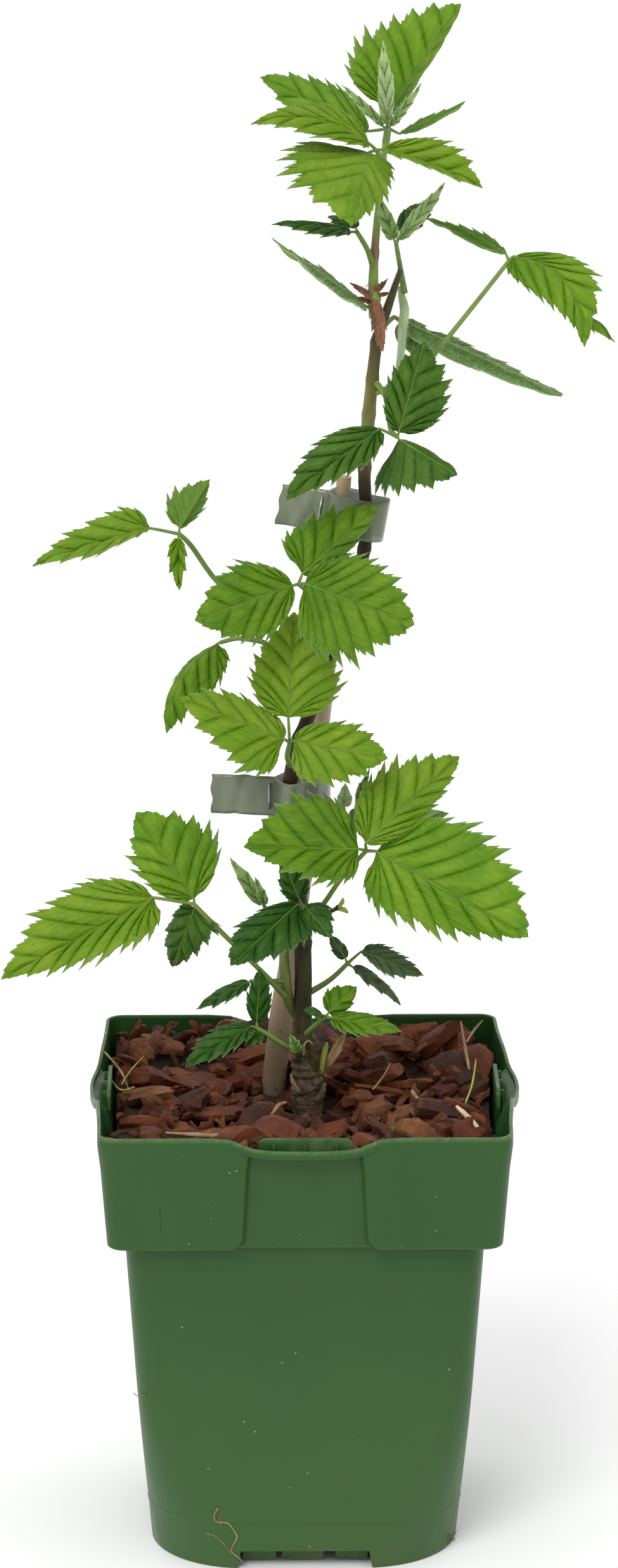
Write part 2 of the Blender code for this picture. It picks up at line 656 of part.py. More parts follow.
def make_mulch(parts):
    draw = random.Random(18)
    inset = WALL + 0.6
    rings = [collar_ring(SOIL_TOP_Z - 1, inset - 0.4), collar_ring(MULCH_BED_Z, inset - 0.4)]
    mulch = loft("bark_mulch", rings, parts)
    chips = new_collection("chips")
    step = 2 * (RIM_HALF - 10) / (MULCH_CHIPS_ACROSS - 1)
    for row in range(MULCH_CHIPS_ACROSS):
        for column in range(MULCH_CHIPS_ACROSS):
            x = (column - (MULCH_CHIPS_ACROSS - 1) / 2) * step + draw.uniform(-4, 4)
            y = (row - (MULCH_CHIPS_ACROSS - 1) / 2) * step + draw.uniform(-4, 4)
            size = Vector((draw.uniform(20, 29), draw.uniform(14, 19), draw.uniform(6, 9)))
            turn = Euler((draw.uniform(-0.4, 0.4), draw.uniform(-0.4, 0.4), draw.uniform(0, math.pi)))
            heap = MULCH_HEAP * smoothstep(15, 50, max(abs(x), abs(y)))
            place = Vector((x, y, MULCH_BED_Z + heap + draw.uniform(-0.5, 2.0)))
            add_chip(chips, place, size, turn, draw)
    join(mulch, chips, "MANIFOLD")
    rings = [collar_ring(SOIL_TOP_Z + GAP, inset), collar_ring(LIP_FOOT_Z + 15, inset)]
    cut(mulch, loft("mulch_edge", rings, parts), "INTERSECT", "MANIFOLD")
    for cutter in list(standing_stems(parts, GAP + 0.3)):
        cut(mulch, cutter, solver="MANIFOLD")
    dress(mulch, "bark", (0.150, 0.052, 0.028), 0.85)


def add_chip(collection, place, size, turn, draw):
    """One bark chip: a block with uneven corners."""

    def fill(shape):
        bmesh.ops.create_cube(shape, size=1.0)
        for vert in shape.verts:
            uneven = Vector([axis * draw.uniform(0.68, 1.12) for axis in vert.co])
            vert.co = turn.to_matrix() @ Vector([a * b for a, b in zip(uneven, size)]) + place

    new_object("chip", mesh_of(fill), collection)


def make_stems(parts):
    bamboo = tube("bamboo_cane", stem_path(BAMBOO_CANE, BAMBOO_CANE_FOOT_Z), parts, sides=10)
    dress(bamboo, "bamboo", (0.480, 0.320, 0.170), 0.6)
    main = tube("main_cane", stem_path(MAIN_CANE, MAIN_CANE_FOOT_Z), parts, sides=8)
    stubs = new_collection("stubs")
    for number, places in enumerate(STUBS):
        tube(f"stub{number}", stem_path(places), stubs)
    join(main, stubs)
    low, high = seen(CUT_TOP[0]), seen(CUT_TOP[1])
    pruning = box("pruning", (-20, -20, 0), (20, 20, 40), parts)
    slope = Matrix.Rotation(-math.atan2(high.z - low.z, high.x - low.x), 4, "Y")
    pruning.data.transform(Matrix.Translation(low * MM) @ slope)
    cut(main, pruning)
    dress(main, "cane_bark", (0.060, 0.050, 0.022), 0.6)
    upper = tube("upper_shoot", stem_path(UPPER_SHOOT), parts, sides=8)
    sheaths = new_collection("sheaths")
    for form in SHEATHS:
        add_blade(sheaths, form, random.Random(2))
    join(upper, sheaths, "MANIFOLD")
    dress(upper, "upper_shoot_skin", (0.130, 0.220, 0.040), 0.55)
    for name, places in (("lateral_shoot", LATERAL_SHOOT), ("young_shoot", YOUNG_SHOOT)):
        shoot = tube(name, stem_path(places), parts, sides=8)
        dress(shoot, name + "_skin", (0.130, 0.250, 0.040), 0.55)


def blade_reach(u, widest):
    """How far the margin reaches out, from the leaflet's base (0) to its tip (1)."""
    swell = math.sin(math.pi * u ** (math.log(0.5) / math.log(widest)))
    return max(swell, 0.0) ** (0.55 + 0.35 * u) * (1 - 0.12 * u)


def add_blade(collection, form, draw):
    """One toothed leaflet: a wing each side of its rib, a triangle for each tooth, then its thickness."""
    base, tip = seen(form["base"]), seen(form["tip"])
    along = tip - base
    length = along.length
    along.normalize()
    facing = (EYE - base).normalized()
    facing = (facing - along * facing.dot(along)).normalized()
    across = along.cross(facing)
    arch, bend, lobe = form.get("arch", 0.05), form.get("bend", 0.0), form.get("lobe", 0.0)
    teeth = form.get("teeth", 6)

    def rib(t):
        rise = 4 * t * (1 - t) * length
        return base + along * (length * t) + facing * (arch * rise) + across * (bend * rise)

    def edge(u, reach, hand):
        half, forward, widest = form["sides"][hand > 0]
        out = reach * blade_reach(u, widest)
        back = lobe * 4 * u * (1 - u) ** 3
        return rib(u) + (across * (hand * half) + facing * forward) * out - along * (back * length)

    def fill(shape):
        ribs = [shape.verts.new(rib(0.94 * k / teeth)) for k in range(teeth + 1)]
        end = shape.verts.new(rib(1.0))
        for hand in (-1, 1):
            low = shape.verts.new(edge(0.012, 0.5, hand))
            first = (ribs[0], low)
            for k in range(teeth):
                u = (k + 0.62 + draw.uniform(-0.1, 0.1)) / teeth
                point = shape.verts.new(edge(0.97 * u + 0.03, 1.03, hand))
                valley = end
                if k < teeth - 1:
                    valley = shape.verts.new(edge(0.94 * (k + 1.0) / teeth, 0.80, hand))
                if valley is end:
                    corners = [(*first, point), (first[0], point, ribs[k + 1]), (ribs[k + 1], point, end)]
                else:
                    corners = [(*first, valley), (first[0], valley, ribs[k + 1]), (first[1], point, valley)]
                for corner in corners:
                    shape.faces.new(corner if hand > 0 else corner[::-1])
                first = (ribs[k + 1], valley)

    blade = new_object("blade", mesh_of(fill), collection)
    shell = blade.modifiers.new("thickness", "SOLIDIFY")
    shell.thickness = LEAF_THICKNESS * MM
    shell.offset = 0.0
    apply_modifiers(blade)
    return rib


def on_stem(place, toward, on_top):
    """Where a stalk starts that leads towards a point: just clear of the stem at this place."""
    place = seen(place)
    middle, radius, nearest = place, 0.0, 1e9
    for places in (MAIN_CANE, UPPER_SHOOT, LATERAL_SHOOT, YOUNG_SHOOT):
        path = stem_path(places)
        for (low, low_radius), (high, high_radius) in zip(path, path[1:]):
            t = min(max((place - low).dot(high - low) / (high - low).length_squared, 0.0), 1.0)
            point = low.lerp(high, t)
            if (point - place).length < nearest:
                nearest = (point - place).length
                middle, radius = point, low_radius + (high_radius - low_radius) * t
    if on_top:
        return middle + (toward - middle).normalized() * (GAP + 0.3)
    outward = Vector((toward.x - middle.x, toward.y - middle.y, 0)).normalized()
    return middle + outward * (radius + STALK_RADIUS + GAP)


def make_leaf(name, form, parts, draw):
    stalk = [seen(place) for place in form["stalk"]]
    foot = on_stem(form["stem"], stalk[0], form.get("on_top", False))
    fork = stalk[-1]
    path = [(point, STALK_RADIUS) for point in (foot, *stalk)]
    leaf = tube(name, path, parts, sides=4)
    joined = new_collection(name + "_leaflets")
    for blade in form["leaflets"]:
        rib = add_blade(joined, blade, draw)
        stalklet = [(fork, STALKLET_RADIUS), (rib(0.0), STALKLET_RADIUS), (rib(0.06), 0.2)]
        if (fork - rib(0.0)).length < 1.5:
            stalklet.pop(1)
        tube("stalklet", stalklet, joined, sides=4)
    # The EXACT solver cuts these thin blades into three times as many triangles.
    join(leaf, joined, "MANIFOLD")
    dress(leaf, name + "_green", LEAF_GREENS[form.get("green", "bright")], 0.5)


def make_tie(name, form, parts):
    """A flat tape: a loop round the stems whose two ends lie together as a stapled tail."""
    loop = [seen(place) for place in form["loop"]]
    pinch, tail = loop[0], seen(form["tail"])
    foot_z = pinch.z - TAPE_HEIGHT / 2
    outward = Vector((tail.x - pinch.x, tail.y - pinch.y, 0)).normalized()
    sideways = Vector((outward.y, -outward.x, 0))
    round_loop = smooth_path([(Vector((point.x, point.y, 0)), 0.0) for point in loop[1:]], 2)
    start = Vector((pinch.x, pinch.y, 0))
    half = TAPE_THICKNESS / 2
    outer = [start + outward * 1.0] + [point for point, _ in round_loop]
    middle_of_loop = sum((point for point in outer), Vector()) / len(outer)
    inner = []
    for i, point in enumerate(outer):
        before, after = outer[i - 1], outer[(i + 1) % len(outer)]
        along = (after - before).normalized()
        inward = Vector((-along.y, along.x, 0))
        if inward.dot(middle_of_loop - point) < 0:
            inward = -inward
        inner.append(point + inward * TAPE_THICKNESS)
    tail_end = Vector((tail.x, tail.y, 0))

    def leant(point, height):
        """The tape leans, and lies higher toward one end."""
        rise = form["slope"] * (point.x - pinch.x)
        return point + Vector((form["lean"] * (height - pinch.z), 0, height + rise))

    def extruded(outline, low, high):
        def fill(shape):
            rows = []
            for height in (low, high):
                rows.append([shape.verts.new(leant(point, height)) for point in outline])
            count = len(outline)
            for i in range(count):
                j = (i + 1) % count
                shape.faces.new((rows[0][i], rows[0][j], rows[1][j], rows[1][i]))
            shape.faces.new(rows[0][::-1])
            shape.faces.new(rows[1])
            bmesh.ops.recalc_face_normals(shape, faces=shape.faces)

        return fill

    tie = new_object(name, mesh_of(extruded(outer, foot_z, foot_z + TAPE_HEIGHT)), parts)
    cut(tie, new_object("inside", mesh_of(extruded(inner, foot_z - 1, foot_z + TAPE_HEIGHT + 1)), parts))
    strip = [
        start - outward * 0.8 + sideways * half * 2, tail_end + sideways * half * 2,
        tail_end - sideways * half * 2, start - outward * 0.8 - sideways * half * 2,
    ]
    joined = new_collection(name + "_tail")
    new_object("tail", mesh_of(extruded(strip, foot_z, foot_z + TAPE_HEIGHT)), joined)
    join(tie, joined)
    staple_at = start + outward * STAPLE_AWAY
    legs = []
    for end in (-1, 1):
        middle = leant(staple_at, pinch.z + end * STAPLE_HEIGHT / 2)
        legs.append((middle - sideways * 1.5, middle + sideways * 1.5))
        hole = mesh_of(
            lambda shape, middle=middle: bmesh.ops.create_cone(
                shape, cap_ends=True, segments=8, radius1=STAPLE_HOLE / 2, radius2=STAPLE_HOLE / 2,
                depth=6.0, matrix=Matrix.Translation(middle)
                @ sideways.to_track_quat("Z", "Y").to_matrix().to_4x4(),
            )
        )
        cut(tie, new_object("hole", hole, parts))
    dress(tie, name + "_tape", (0.300, 0.340, 0.290), 0.35)
    wire = [legs[0][1], legs[0][0], legs[1][0], legs[1][1]]
    staple = tube(name.replace("tie", "staple"), [(point, STAPLE_RADIUS) for point in wire], parts)
    dress(staple, name + "_wire", (0.500, 0.500, 0.500), 0.3)


def main():
    clear_scene()
    parts = new_collection("potted_bramble_bush")
    make_pot(parts)
    make_soil(parts)
    make_mulch(parts)
    make_stems(parts)
    draw = random.Random(5)
    for name, form in LEAVES.items():
        make_leaf(name, form, parts, draw)
    for name, form in TIES.items():
        make_tie(name, form, parts)


main()
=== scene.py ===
# Potted bramble bush: fine leaves, stems, bark mulch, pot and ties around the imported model
import json
import math
import random

import bmesh
import bpy
import numpy as np
from mathutils import Matrix, Vector

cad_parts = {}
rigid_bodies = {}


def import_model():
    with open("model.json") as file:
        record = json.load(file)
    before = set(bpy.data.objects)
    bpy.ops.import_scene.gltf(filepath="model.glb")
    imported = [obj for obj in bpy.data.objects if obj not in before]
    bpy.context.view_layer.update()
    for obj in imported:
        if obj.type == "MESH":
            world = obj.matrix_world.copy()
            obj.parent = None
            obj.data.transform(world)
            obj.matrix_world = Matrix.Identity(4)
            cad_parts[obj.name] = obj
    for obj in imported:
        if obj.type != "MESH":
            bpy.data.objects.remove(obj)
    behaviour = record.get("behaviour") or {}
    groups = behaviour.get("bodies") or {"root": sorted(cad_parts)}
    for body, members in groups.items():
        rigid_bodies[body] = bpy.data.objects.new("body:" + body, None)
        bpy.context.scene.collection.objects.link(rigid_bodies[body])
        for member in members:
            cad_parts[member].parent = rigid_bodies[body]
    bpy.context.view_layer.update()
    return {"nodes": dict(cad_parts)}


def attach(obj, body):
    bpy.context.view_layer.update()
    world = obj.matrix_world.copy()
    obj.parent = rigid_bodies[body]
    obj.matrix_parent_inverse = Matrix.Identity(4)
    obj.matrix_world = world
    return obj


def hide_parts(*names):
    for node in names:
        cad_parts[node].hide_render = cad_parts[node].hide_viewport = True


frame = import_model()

mm = 0.001

# the photo's eye point; a place on the plant is (pixel x, pixel y, mm behind the pot's middle)
view = {
    "distance": 1700.0, "height": 707.0, "side": 1.9, "turn": math.radians(-0.69),
    "pitch": math.radians(15.0), "focalPixels": 8596.0, "photoSize": (975, 2475), "sensor": 36.0,
}
eye = Vector((
    view["side"] + view["distance"] * math.sin(view["turn"]),
    -view["distance"] * math.cos(view["turn"]),
    view["height"],
))
eyeRight = Vector((math.cos(view["turn"]), math.sin(view["turn"]), 0.0))
eyeAhead = Vector((
    -math.sin(view["turn"]) * math.cos(view["pitch"]),
    math.cos(view["turn"]) * math.cos(view["pitch"]),
    -math.sin(view["pitch"]),
))
eyeUp = eyeRight.cross(eyeAhead)


def seen(place):
    pixelX, pixelY, depth = place
    ray = (
        eyeAhead * view["focalPixels"]
        + eyeRight * (pixelX - view["photoSize"][0] / 2)
        - eyeUp * (pixelY - view["photoSize"][1] / 2)
    )
    return eye + ray * ((depth - eye.y) / ray.y)


def smoothstep(low, high, value):
    t = np.clip((value - low) / (high - low), 0.0, 1.0)
    return t * t * (3 - 2 * t)


def smoothPath(points, steps):
    # (point, radius) pairs along a smooth curve through the given pairs
    path = []
    for i in range(len(points) - 1):
        a, d = points[max(i - 1, 0)][0], points[min(i + 2, len(points) - 1)][0]
        (b, rb), (c, rc) = points[i], points[i + 1]
        square, cube = a * 2 - b * 5 + c * 4 - d, b * 3 - a - c * 3 + d
        for step in range(steps):
            t = step / steps
            path.append(((b * 2 + (c - a) * t + square * t ** 2 + cube * t ** 3) / 2, rb + (rc - rb) * t))
    path.append(points[-1])
    return path


# node helpers
def addNode(tree, kind, inputs=None, **settings):
    made = tree.nodes.new(kind)
    for name, value in settings.items():
        setattr(made, name, value)
    for key, value in (inputs or {}).items():
        if isinstance(value, bpy.types.NodeSocket):
            tree.links.new(value, made.inputs[key])
        else:
            made.inputs[key].default_value = value
    return made


def maths(tree, operation, *values):
    return addNode(tree, "ShaderNodeMath", dict(enumerate(values)), operation=operation).outputs[0]


def times(tree, *values):
    return maths(tree, "MULTIPLY", *values)


def remap(tree, value, low, high, toLow=0.0, toHigh=1.0):
    inputs = {0: value, 1: low, 2: high, 3: toLow, 4: toHigh}
    return addNode(tree, "ShaderNodeMapRange", inputs).outputs[0]


def mixColour(tree, amount, first, second):
    first, second = ((*c, 1.0) if isinstance(c, tuple) else c for c in (first, second))
    return addNode(tree, "ShaderNodeMix", {0: amount, 6: first, 7: second}, data_type="RGBA").outputs[2]


def noise(tree, vector, scale, detail=4.0, roughness=0.55, distortion=0.0):
    return addNode(tree, "ShaderNodeTexNoise", {
        "Vector": vector, "Scale": scale, "Detail": detail, "Roughness": roughness,
        "Distortion": distortion,
    }).outputs[0]


def cellDistance(tree, vector, scale):
    return addNode(tree, "ShaderNodeTexVoronoi", {"Vector": vector, "Scale": scale}).outputs[0]


def objectCoords(tree):
    return addNode(tree, "ShaderNodeTexCoord").outputs["Object"]


def objectAxes(tree):
    # x, y and z of the place on the piece, in metres
    return addNode(tree, "ShaderNodeSeparateXYZ", {0: objectCoords(tree)}).outputs


def objectPlace(tree, scale=(1, 1, 1), turn=(0, 0, 0)):
    inputs = {"Vector": objectCoords(tree), "Scale": scale, "Rotation": turn}
    return addNode(tree, "ShaderNodeMapping", inputs).outputs[0]


def mapAxes(tree, name):
    # the two numbers of one of the piece's own UV maps
    vector = addNode(tree, "ShaderNodeUVMap", uv_map=name).outputs[0]
    return addNode(tree, "ShaderNodeSeparateXYZ", {0: vector}).outputs[:2]


def joinAxes(tree, x, y, z=0.0):
    return addNode(tree, "ShaderNodeCombineXYZ", {0: x, 1: y, 2: z}).outputs[0]


def newMaterial(name, **values):
    material = bpy.data.materials.new(name)
    material.use_nodes = True
    shader = material.node_tree.nodes["Principled BSDF"]
    for label, value in values.items():
        words = label.replace("_", " ")
        shader.inputs[words].default_value = (*value, 1.0) if isinstance(value, tuple) else value
    return material, material.node_tree, shader


def setColour(tree, shader, colour):
    tree.links.new(colour, shader.inputs["Base Color"])


def setBump(tree, shader, height, strength, distance):
    inputs = {"Height": height, "Strength": strength, "Distance": distance}
    tree.links.new(addNode(tree, "ShaderNodeBump", inputs).outputs[0], shader.inputs["Normal"])


# geometry node helpers
def newTree(name, **inputs):
    tree = bpy.data.node_groups.new(name, "GeometryNodeTree")
    tree.interface.new_socket("Geometry", in_out="INPUT", socket_type="NodeSocketGeometry")
    tree.interface.new_socket("Geometry", in_out="OUTPUT", socket_type="NodeSocketGeometry")
    for label, value in inputs.items():
        kind = {int: "Int", float: "Float", type(None): "Material", str: "Collection"}[type(value)]
        made = tree.interface.new_socket(label, in_out="INPUT", socket_type="NodeSocket" + kind)
        if kind in ("Int", "Float"):
            made.default_value = value
    return tree, addNode(tree, "NodeGroupInput").outputs


def dress(tree, geometry, finish):
    # the end of every tree, because the export drops instances
    real = addNode(tree, "GeometryNodeRealizeInstances", {0: geometry}).outputs[0]
    return addNode(tree, "GeometryNodeSetMaterial", {0: real, "Material": finish}).outputs[0]


def endTree(tree, geometry):
    addNode(tree, "NodeGroupOutput", {0: geometry})
    return tree


def randomNumber(tree, low, high, seed):
    return addNode(tree, "FunctionNodeRandomValue", {2: low, 3: high, "Seed": seed}).outputs[1]


def randomVector(tree, low, high, seed):
    inputs = {0: low, 1: high, "Seed": seed}
    return addNode(tree, "FunctionNodeRandomValue", inputs, data_type="FLOAT_VECTOR").outputs[0]


def newPiece(name, data):
    made = bpy.data.objects.new(name, data)
    bpy.context.scene.collection.objects.link(made)
    return made


def plainMesh(piece):
    # the piece as the viewport shows it, with no modifier left
    graph = bpy.context.evaluated_depsgraph_get()
    graph.update()
    mesh = bpy.data.meshes.new_from_object(
        piece.evaluated_get(graph), preserve_all_data_layers=True, depsgraph=graph
    )
    name = piece.name
    bpy.data.objects.remove(piece)
    return newPiece(name, mesh)


def runTree(piece, tree, **values):
    # a modifier's inputs are set by the identifiers of the tree's sockets
    modifier = piece.modifiers.new(tree.name, "NODES")
    modifier.node_group = tree
    for item in tree.interface.items_tree:
        if item.in_out == "INPUT" and item.name in values:
            modifier[item.identifier] = values[item.name]
    return plainMesh(piece)


def meshFrom(name, points, faces, maps=None, smooth=True):
    # points in mm; maps holds a UV map's two numbers for each point
    mesh = bpy.data.meshes.new(name)
    mesh.from_pydata((np.asarray(points) * mm).tolist(), [], [list(map(int, face)) for face in faces])
    corner = np.zeros(len(mesh.loops), np.int32)
    mesh.loops.foreach_get("vertex_index", corner)
    for label, values in (maps or {}).items():
        layer = mesh.uv_layers.new(name=label)
        layer.data.foreach_set("uv", np.asarray(values, np.float32)[corner].ravel())
    if smooth:
        mesh.shade_smooth()
    return newPiece(name, mesh)


def gridQuads(rows, columns):
    # the faces of a grid of points that is listed row by row
    index = np.arange(rows * columns).reshape(rows, columns)
    corners = index[:-1, :-1], index[:-1, 1:], index[1:, 1:], index[1:, :-1]
    return np.stack(corners, axis=-1).reshape(-1, 4)


def thicken(piece, thickness, offset=0.0, farFinish=0):
    # gives a sheet its wall, in mm; farFinish is how many finishes later its far side's comes
    wall = piece.modifiers.new("wall", "SOLIDIFY")
    wall.thickness, wall.offset, wall.material_offset = thickness * mm, offset, farFinish
    return plainMesh(piece)


def meshJob(piece, job):
    shape = bmesh.new()
    shape.from_mesh(piece.data)
    job(shape)
    shape.to_mesh(piece.data)
    shape.free()


def weld(piece, distance=0.002):
    def job(shape):
        bmesh.ops.remove_doubles(shape, verts=shape.verts, dist=distance * mm)
        bmesh.ops.dissolve_degenerate(shape, edges=shape.edges, dist=distance * mm)

    meshJob(piece, job)


def faceOutwards(piece):
    meshJob(piece, lambda shape: bmesh.ops.recalc_face_normals(shape, faces=shape.faces))


def joinPieces(pieces, name):
    with bpy.context.temp_override(active_object=pieces[0], selected_editable_objects=pieces):
        bpy.ops.object.join()
    pieces[0].name = name
    return pieces[0]


def triangles(piece):
    return sum(len(face.vertices) - 2 for face in piece.data.polygons)


def finishPiece(piece, node):
    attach(piece, "root")
    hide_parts(node)


def strands(name, paths):
    # a curve object with one spline for each list of (point, radius) pairs, in mm
    curve = bpy.data.curves.new(name, "CURVE")
    curve.dimensions = "3D"
    for path in paths:
        spline = curve.splines.new("POLY")
        spline.points.add(len(path) - 1)
        for knot, (point, radius) in zip(spline.points, path):
            knot.co = (*(point * mm), 1.0)
            knot.radius = radius
    return newPiece(name, curve)


# hairs on stems and leaves: thin cones that lean away from the skin
def makeHairTree():
    tree, given = newTree("hairs", Density=0.0, Length=0.8, Thickness=0.03, FromEdge=0.0, Seed=1, Hair=None)
    label = addNode(tree, "GeometryNodeInputNamedAttribute", {"Name": "blade"}, data_type="FLOAT_VECTOR")
    reach = addNode(tree, "ShaderNodeSeparateXYZ", {0: label.outputs[0]}).outputs[1]
    inputs = {0: reach, 1: given["FromEdge"]}
    chosen = addNode(tree, "FunctionNodeCompare", inputs, operation="GREATER_EQUAL").outputs[0]
    points = addNode(tree, "GeometryNodeDistributePointsOnFaces", {
        "Mesh": given[0], "Selection": chosen, "Density": given["Density"], "Seed": given["Seed"],
    })
    lean = randomVector(tree, (-0.9, -0.9, -3.1), (0.9, 0.9, 3.1), given["Seed"])
    leant = addNode(tree, "FunctionNodeEulerToRotation", {0: lean}).outputs[0]
    inputs = {0: points.outputs["Rotation"], 1: leant}
    turned = addNode(tree, "FunctionNodeRotateRotation", inputs, rotation_space="LOCAL").outputs[0]
    cone = addNode(tree, "GeometryNodeMeshCone", {
        "Vertices": 3, "Radius Top": 0.0, "Radius Bottom": times(tree, given["Thickness"], mm),
        "Depth": times(tree, given["Length"], mm),
    })
    placed = addNode(tree, "GeometryNodeInstanceOnPoints", {
        0: points.outputs[0], "Instance": cone.outputs[0], "Rotation": turned,
        "Scale": randomNumber(tree, 0.4, 1.2, given["Seed"]),
    })
    both = addNode(tree, "GeometryNodeJoinGeometry")
    for geometry in (dress(tree, placed.outputs[0], given["Hair"]), given[0]):
        tree.links.new(geometry, both.inputs[0])
    return endTree(tree, both.outputs[0])


# a stem, stalk or thread swept along its path, with an uneven skin
def makeStemTree():
    tree, given = newTree("stem", Sides=12, Bumps=0.05, BumpScale=400.0, Seed=1, Skin=None)
    radius = addNode(tree, "GeometryNodeInputRadius").outputs[0]
    circle = addNode(tree, "GeometryNodeCurvePrimitiveCircle", {"Resolution": given["Sides"], "Radius": mm})
    swept = addNode(tree, "GeometryNodeCurveToMesh", {
        "Curve": given[0], "Profile Curve": circle.outputs[0], "Scale": radius, "Fill Caps": True,
    })
    place = addNode(tree, "GeometryNodeInputPosition").outputs[0]
    apart = joinAxes(tree, 0.0, 0.0, given["Seed"])
    moved = addNode(tree, "ShaderNodeVectorMath", {0: place, 1: apart}, operation="ADD").outputs[0]
    rough = maths(tree, "SUBTRACT", noise(tree, moved, given["BumpScale"], 2.0), 0.5)
    height = times(tree, rough, times(tree, given["Bumps"], mm))
    normal = addNode(tree, "GeometryNodeInputNormal").outputs[0]
    offset = addNode(tree, "ShaderNodeVectorMath", {0: normal, "Scale": height}, operation="SCALE")
    uneven = addNode(tree, "GeometryNodeSetPosition", {0: swept.outputs[0], "Offset": offset.outputs[0]})
    smooth = addNode(tree, "GeometryNodeSetShadeSmooth", {0: uneven.outputs[0]})
    return endTree(tree, dress(tree, smooth.outputs[0], given["Skin"]))


# chips or fibres strewn over a bed, each with its own size, turn and tone
def makeStrewTree():
    tree, given = newTree(
        "strew", Density=1000.0, Smallest=8.0, Largest=20.0, Tilt=0.4, Seed=1, Kinds="", Bark=None,
    )
    points = addNode(tree, "GeometryNodeDistributePointsOnFaces", {
        "Mesh": given[0], "Density": given["Density"], "Seed": given["Seed"],
    })
    kinds = addNode(tree, "GeometryNodeCollectionInfo", {
        "Collection": given["Kinds"], "Separate Children": True, "Reset Children": True,
    })
    tilt = given["Tilt"]
    back = times(tree, tilt, -1.0)
    turn = randomVector(tree, joinAxes(tree, back, back), joinAxes(tree, tilt, tilt, 6.28), given["Seed"])
    turned = addNode(tree, "FunctionNodeEulerToRotation", {0: turn}).outputs[0]
    small, large = (times(tree, given[size], mm) for size in ("Smallest", "Largest"))
    placed = addNode(tree, "GeometryNodeInstanceOnPoints", {
        0: points.outputs[0], "Instance": kinds.outputs[0], "Pick Instance": True, "Rotation": turned,
        "Scale": randomNumber(tree, small, large, maths(tree, "ADD", given["Seed"], 1)),
    })
    tone = randomVector(tree, (0, 0, 0), (1, 1, 0), maths(tree, "ADD", given["Seed"], 2))
    toned = addNode(tree, "GeometryNodeStoreNamedAttribute", {
        0: placed.outputs[0], "Name": "tone", "Value": tone,
    }, data_type="FLOAT_VECTOR", domain="INSTANCE")
    return endTree(tree, dress(tree, toned.outputs[0], given["Bark"]))


hairTree = makeHairTree()
stemTree = makeStemTree()
strewTree = makeStrewTree()


def stem(name, paths, skin, sides=12, bumps=0.05, bumpScale=400.0, steps=6, seed=1):
    smooth = [smoothPath(path, steps) if steps > 1 else path for path in paths]
    return runTree(
        strands(name, smooth), stemTree, Sides=sides, Bumps=bumps, BumpScale=bumpScale, Seed=seed, Skin=skin
    )


def stemPath(places):
    return [(seen(place[:3]), place[3]) for place in places]


def grown(name, forms, skin, **more):
    # stems along all the paths that a dictionary holds under their name
    return stem(name, [stemPath(path) for path in forms[name]], skin, **more)


# leaf finishes
# painted shade: on a leaf's top the darker vein tone stands for shade in the sunken veins; the underside's
# pale veins are their own colour
leafLooks = {  # tones: the flesh, its lighter patches and the vein lines
    "bright": {"tones": ((0.055, 0.143, 0.003), (0.138, 0.255, 0.008), (0.025, 0.088, 0.003)), "rough": 0.50},
    "lime": {"tones": ((0.093, 0.198, 0.005), (0.190, 0.292, 0.017), (0.048, 0.122, 0.004)), "rough": 0.45},
    "mid": {"tones": ((0.074, 0.186, 0.005), (0.168, 0.295, 0.015), (0.034, 0.104, 0.003)), "rough": 0.50},
    "deep": {"tones": ((0.026, 0.088, 0.005), (0.078, 0.160, 0.014), (0.012, 0.050, 0.003)), "rough": 0.42},
    "dark": {"tones": ((0.014, 0.066, 0.004), (0.046, 0.122, 0.011), (0.006, 0.036, 0.002)), "rough": 0.40},
    "dull": {"tones": ((0.038, 0.078, 0.026), (0.098, 0.140, 0.062), (0.021, 0.045, 0.013)), "rough": 0.60,
             "spots": 0.8},
    "silver": {"tones": ((0.130, 0.245, 0.042), (0.270, 0.380, 0.140), (0.090, 0.180, 0.028)), "rough": 0.60,
               "rim": 0.6},
    "downy": {"tones": ((0.200, 0.320, 0.085), (0.420, 0.530, 0.270), (0.150, 0.260, 0.055)), "rough": 0.65,
              "rim": 0.9},
    "bud": {"tones": ((0.400, 0.560, 0.230), (0.640, 0.740, 0.480), (0.330, 0.480, 0.180)), "rough": 0.65,
            "rim": 0.9},
}


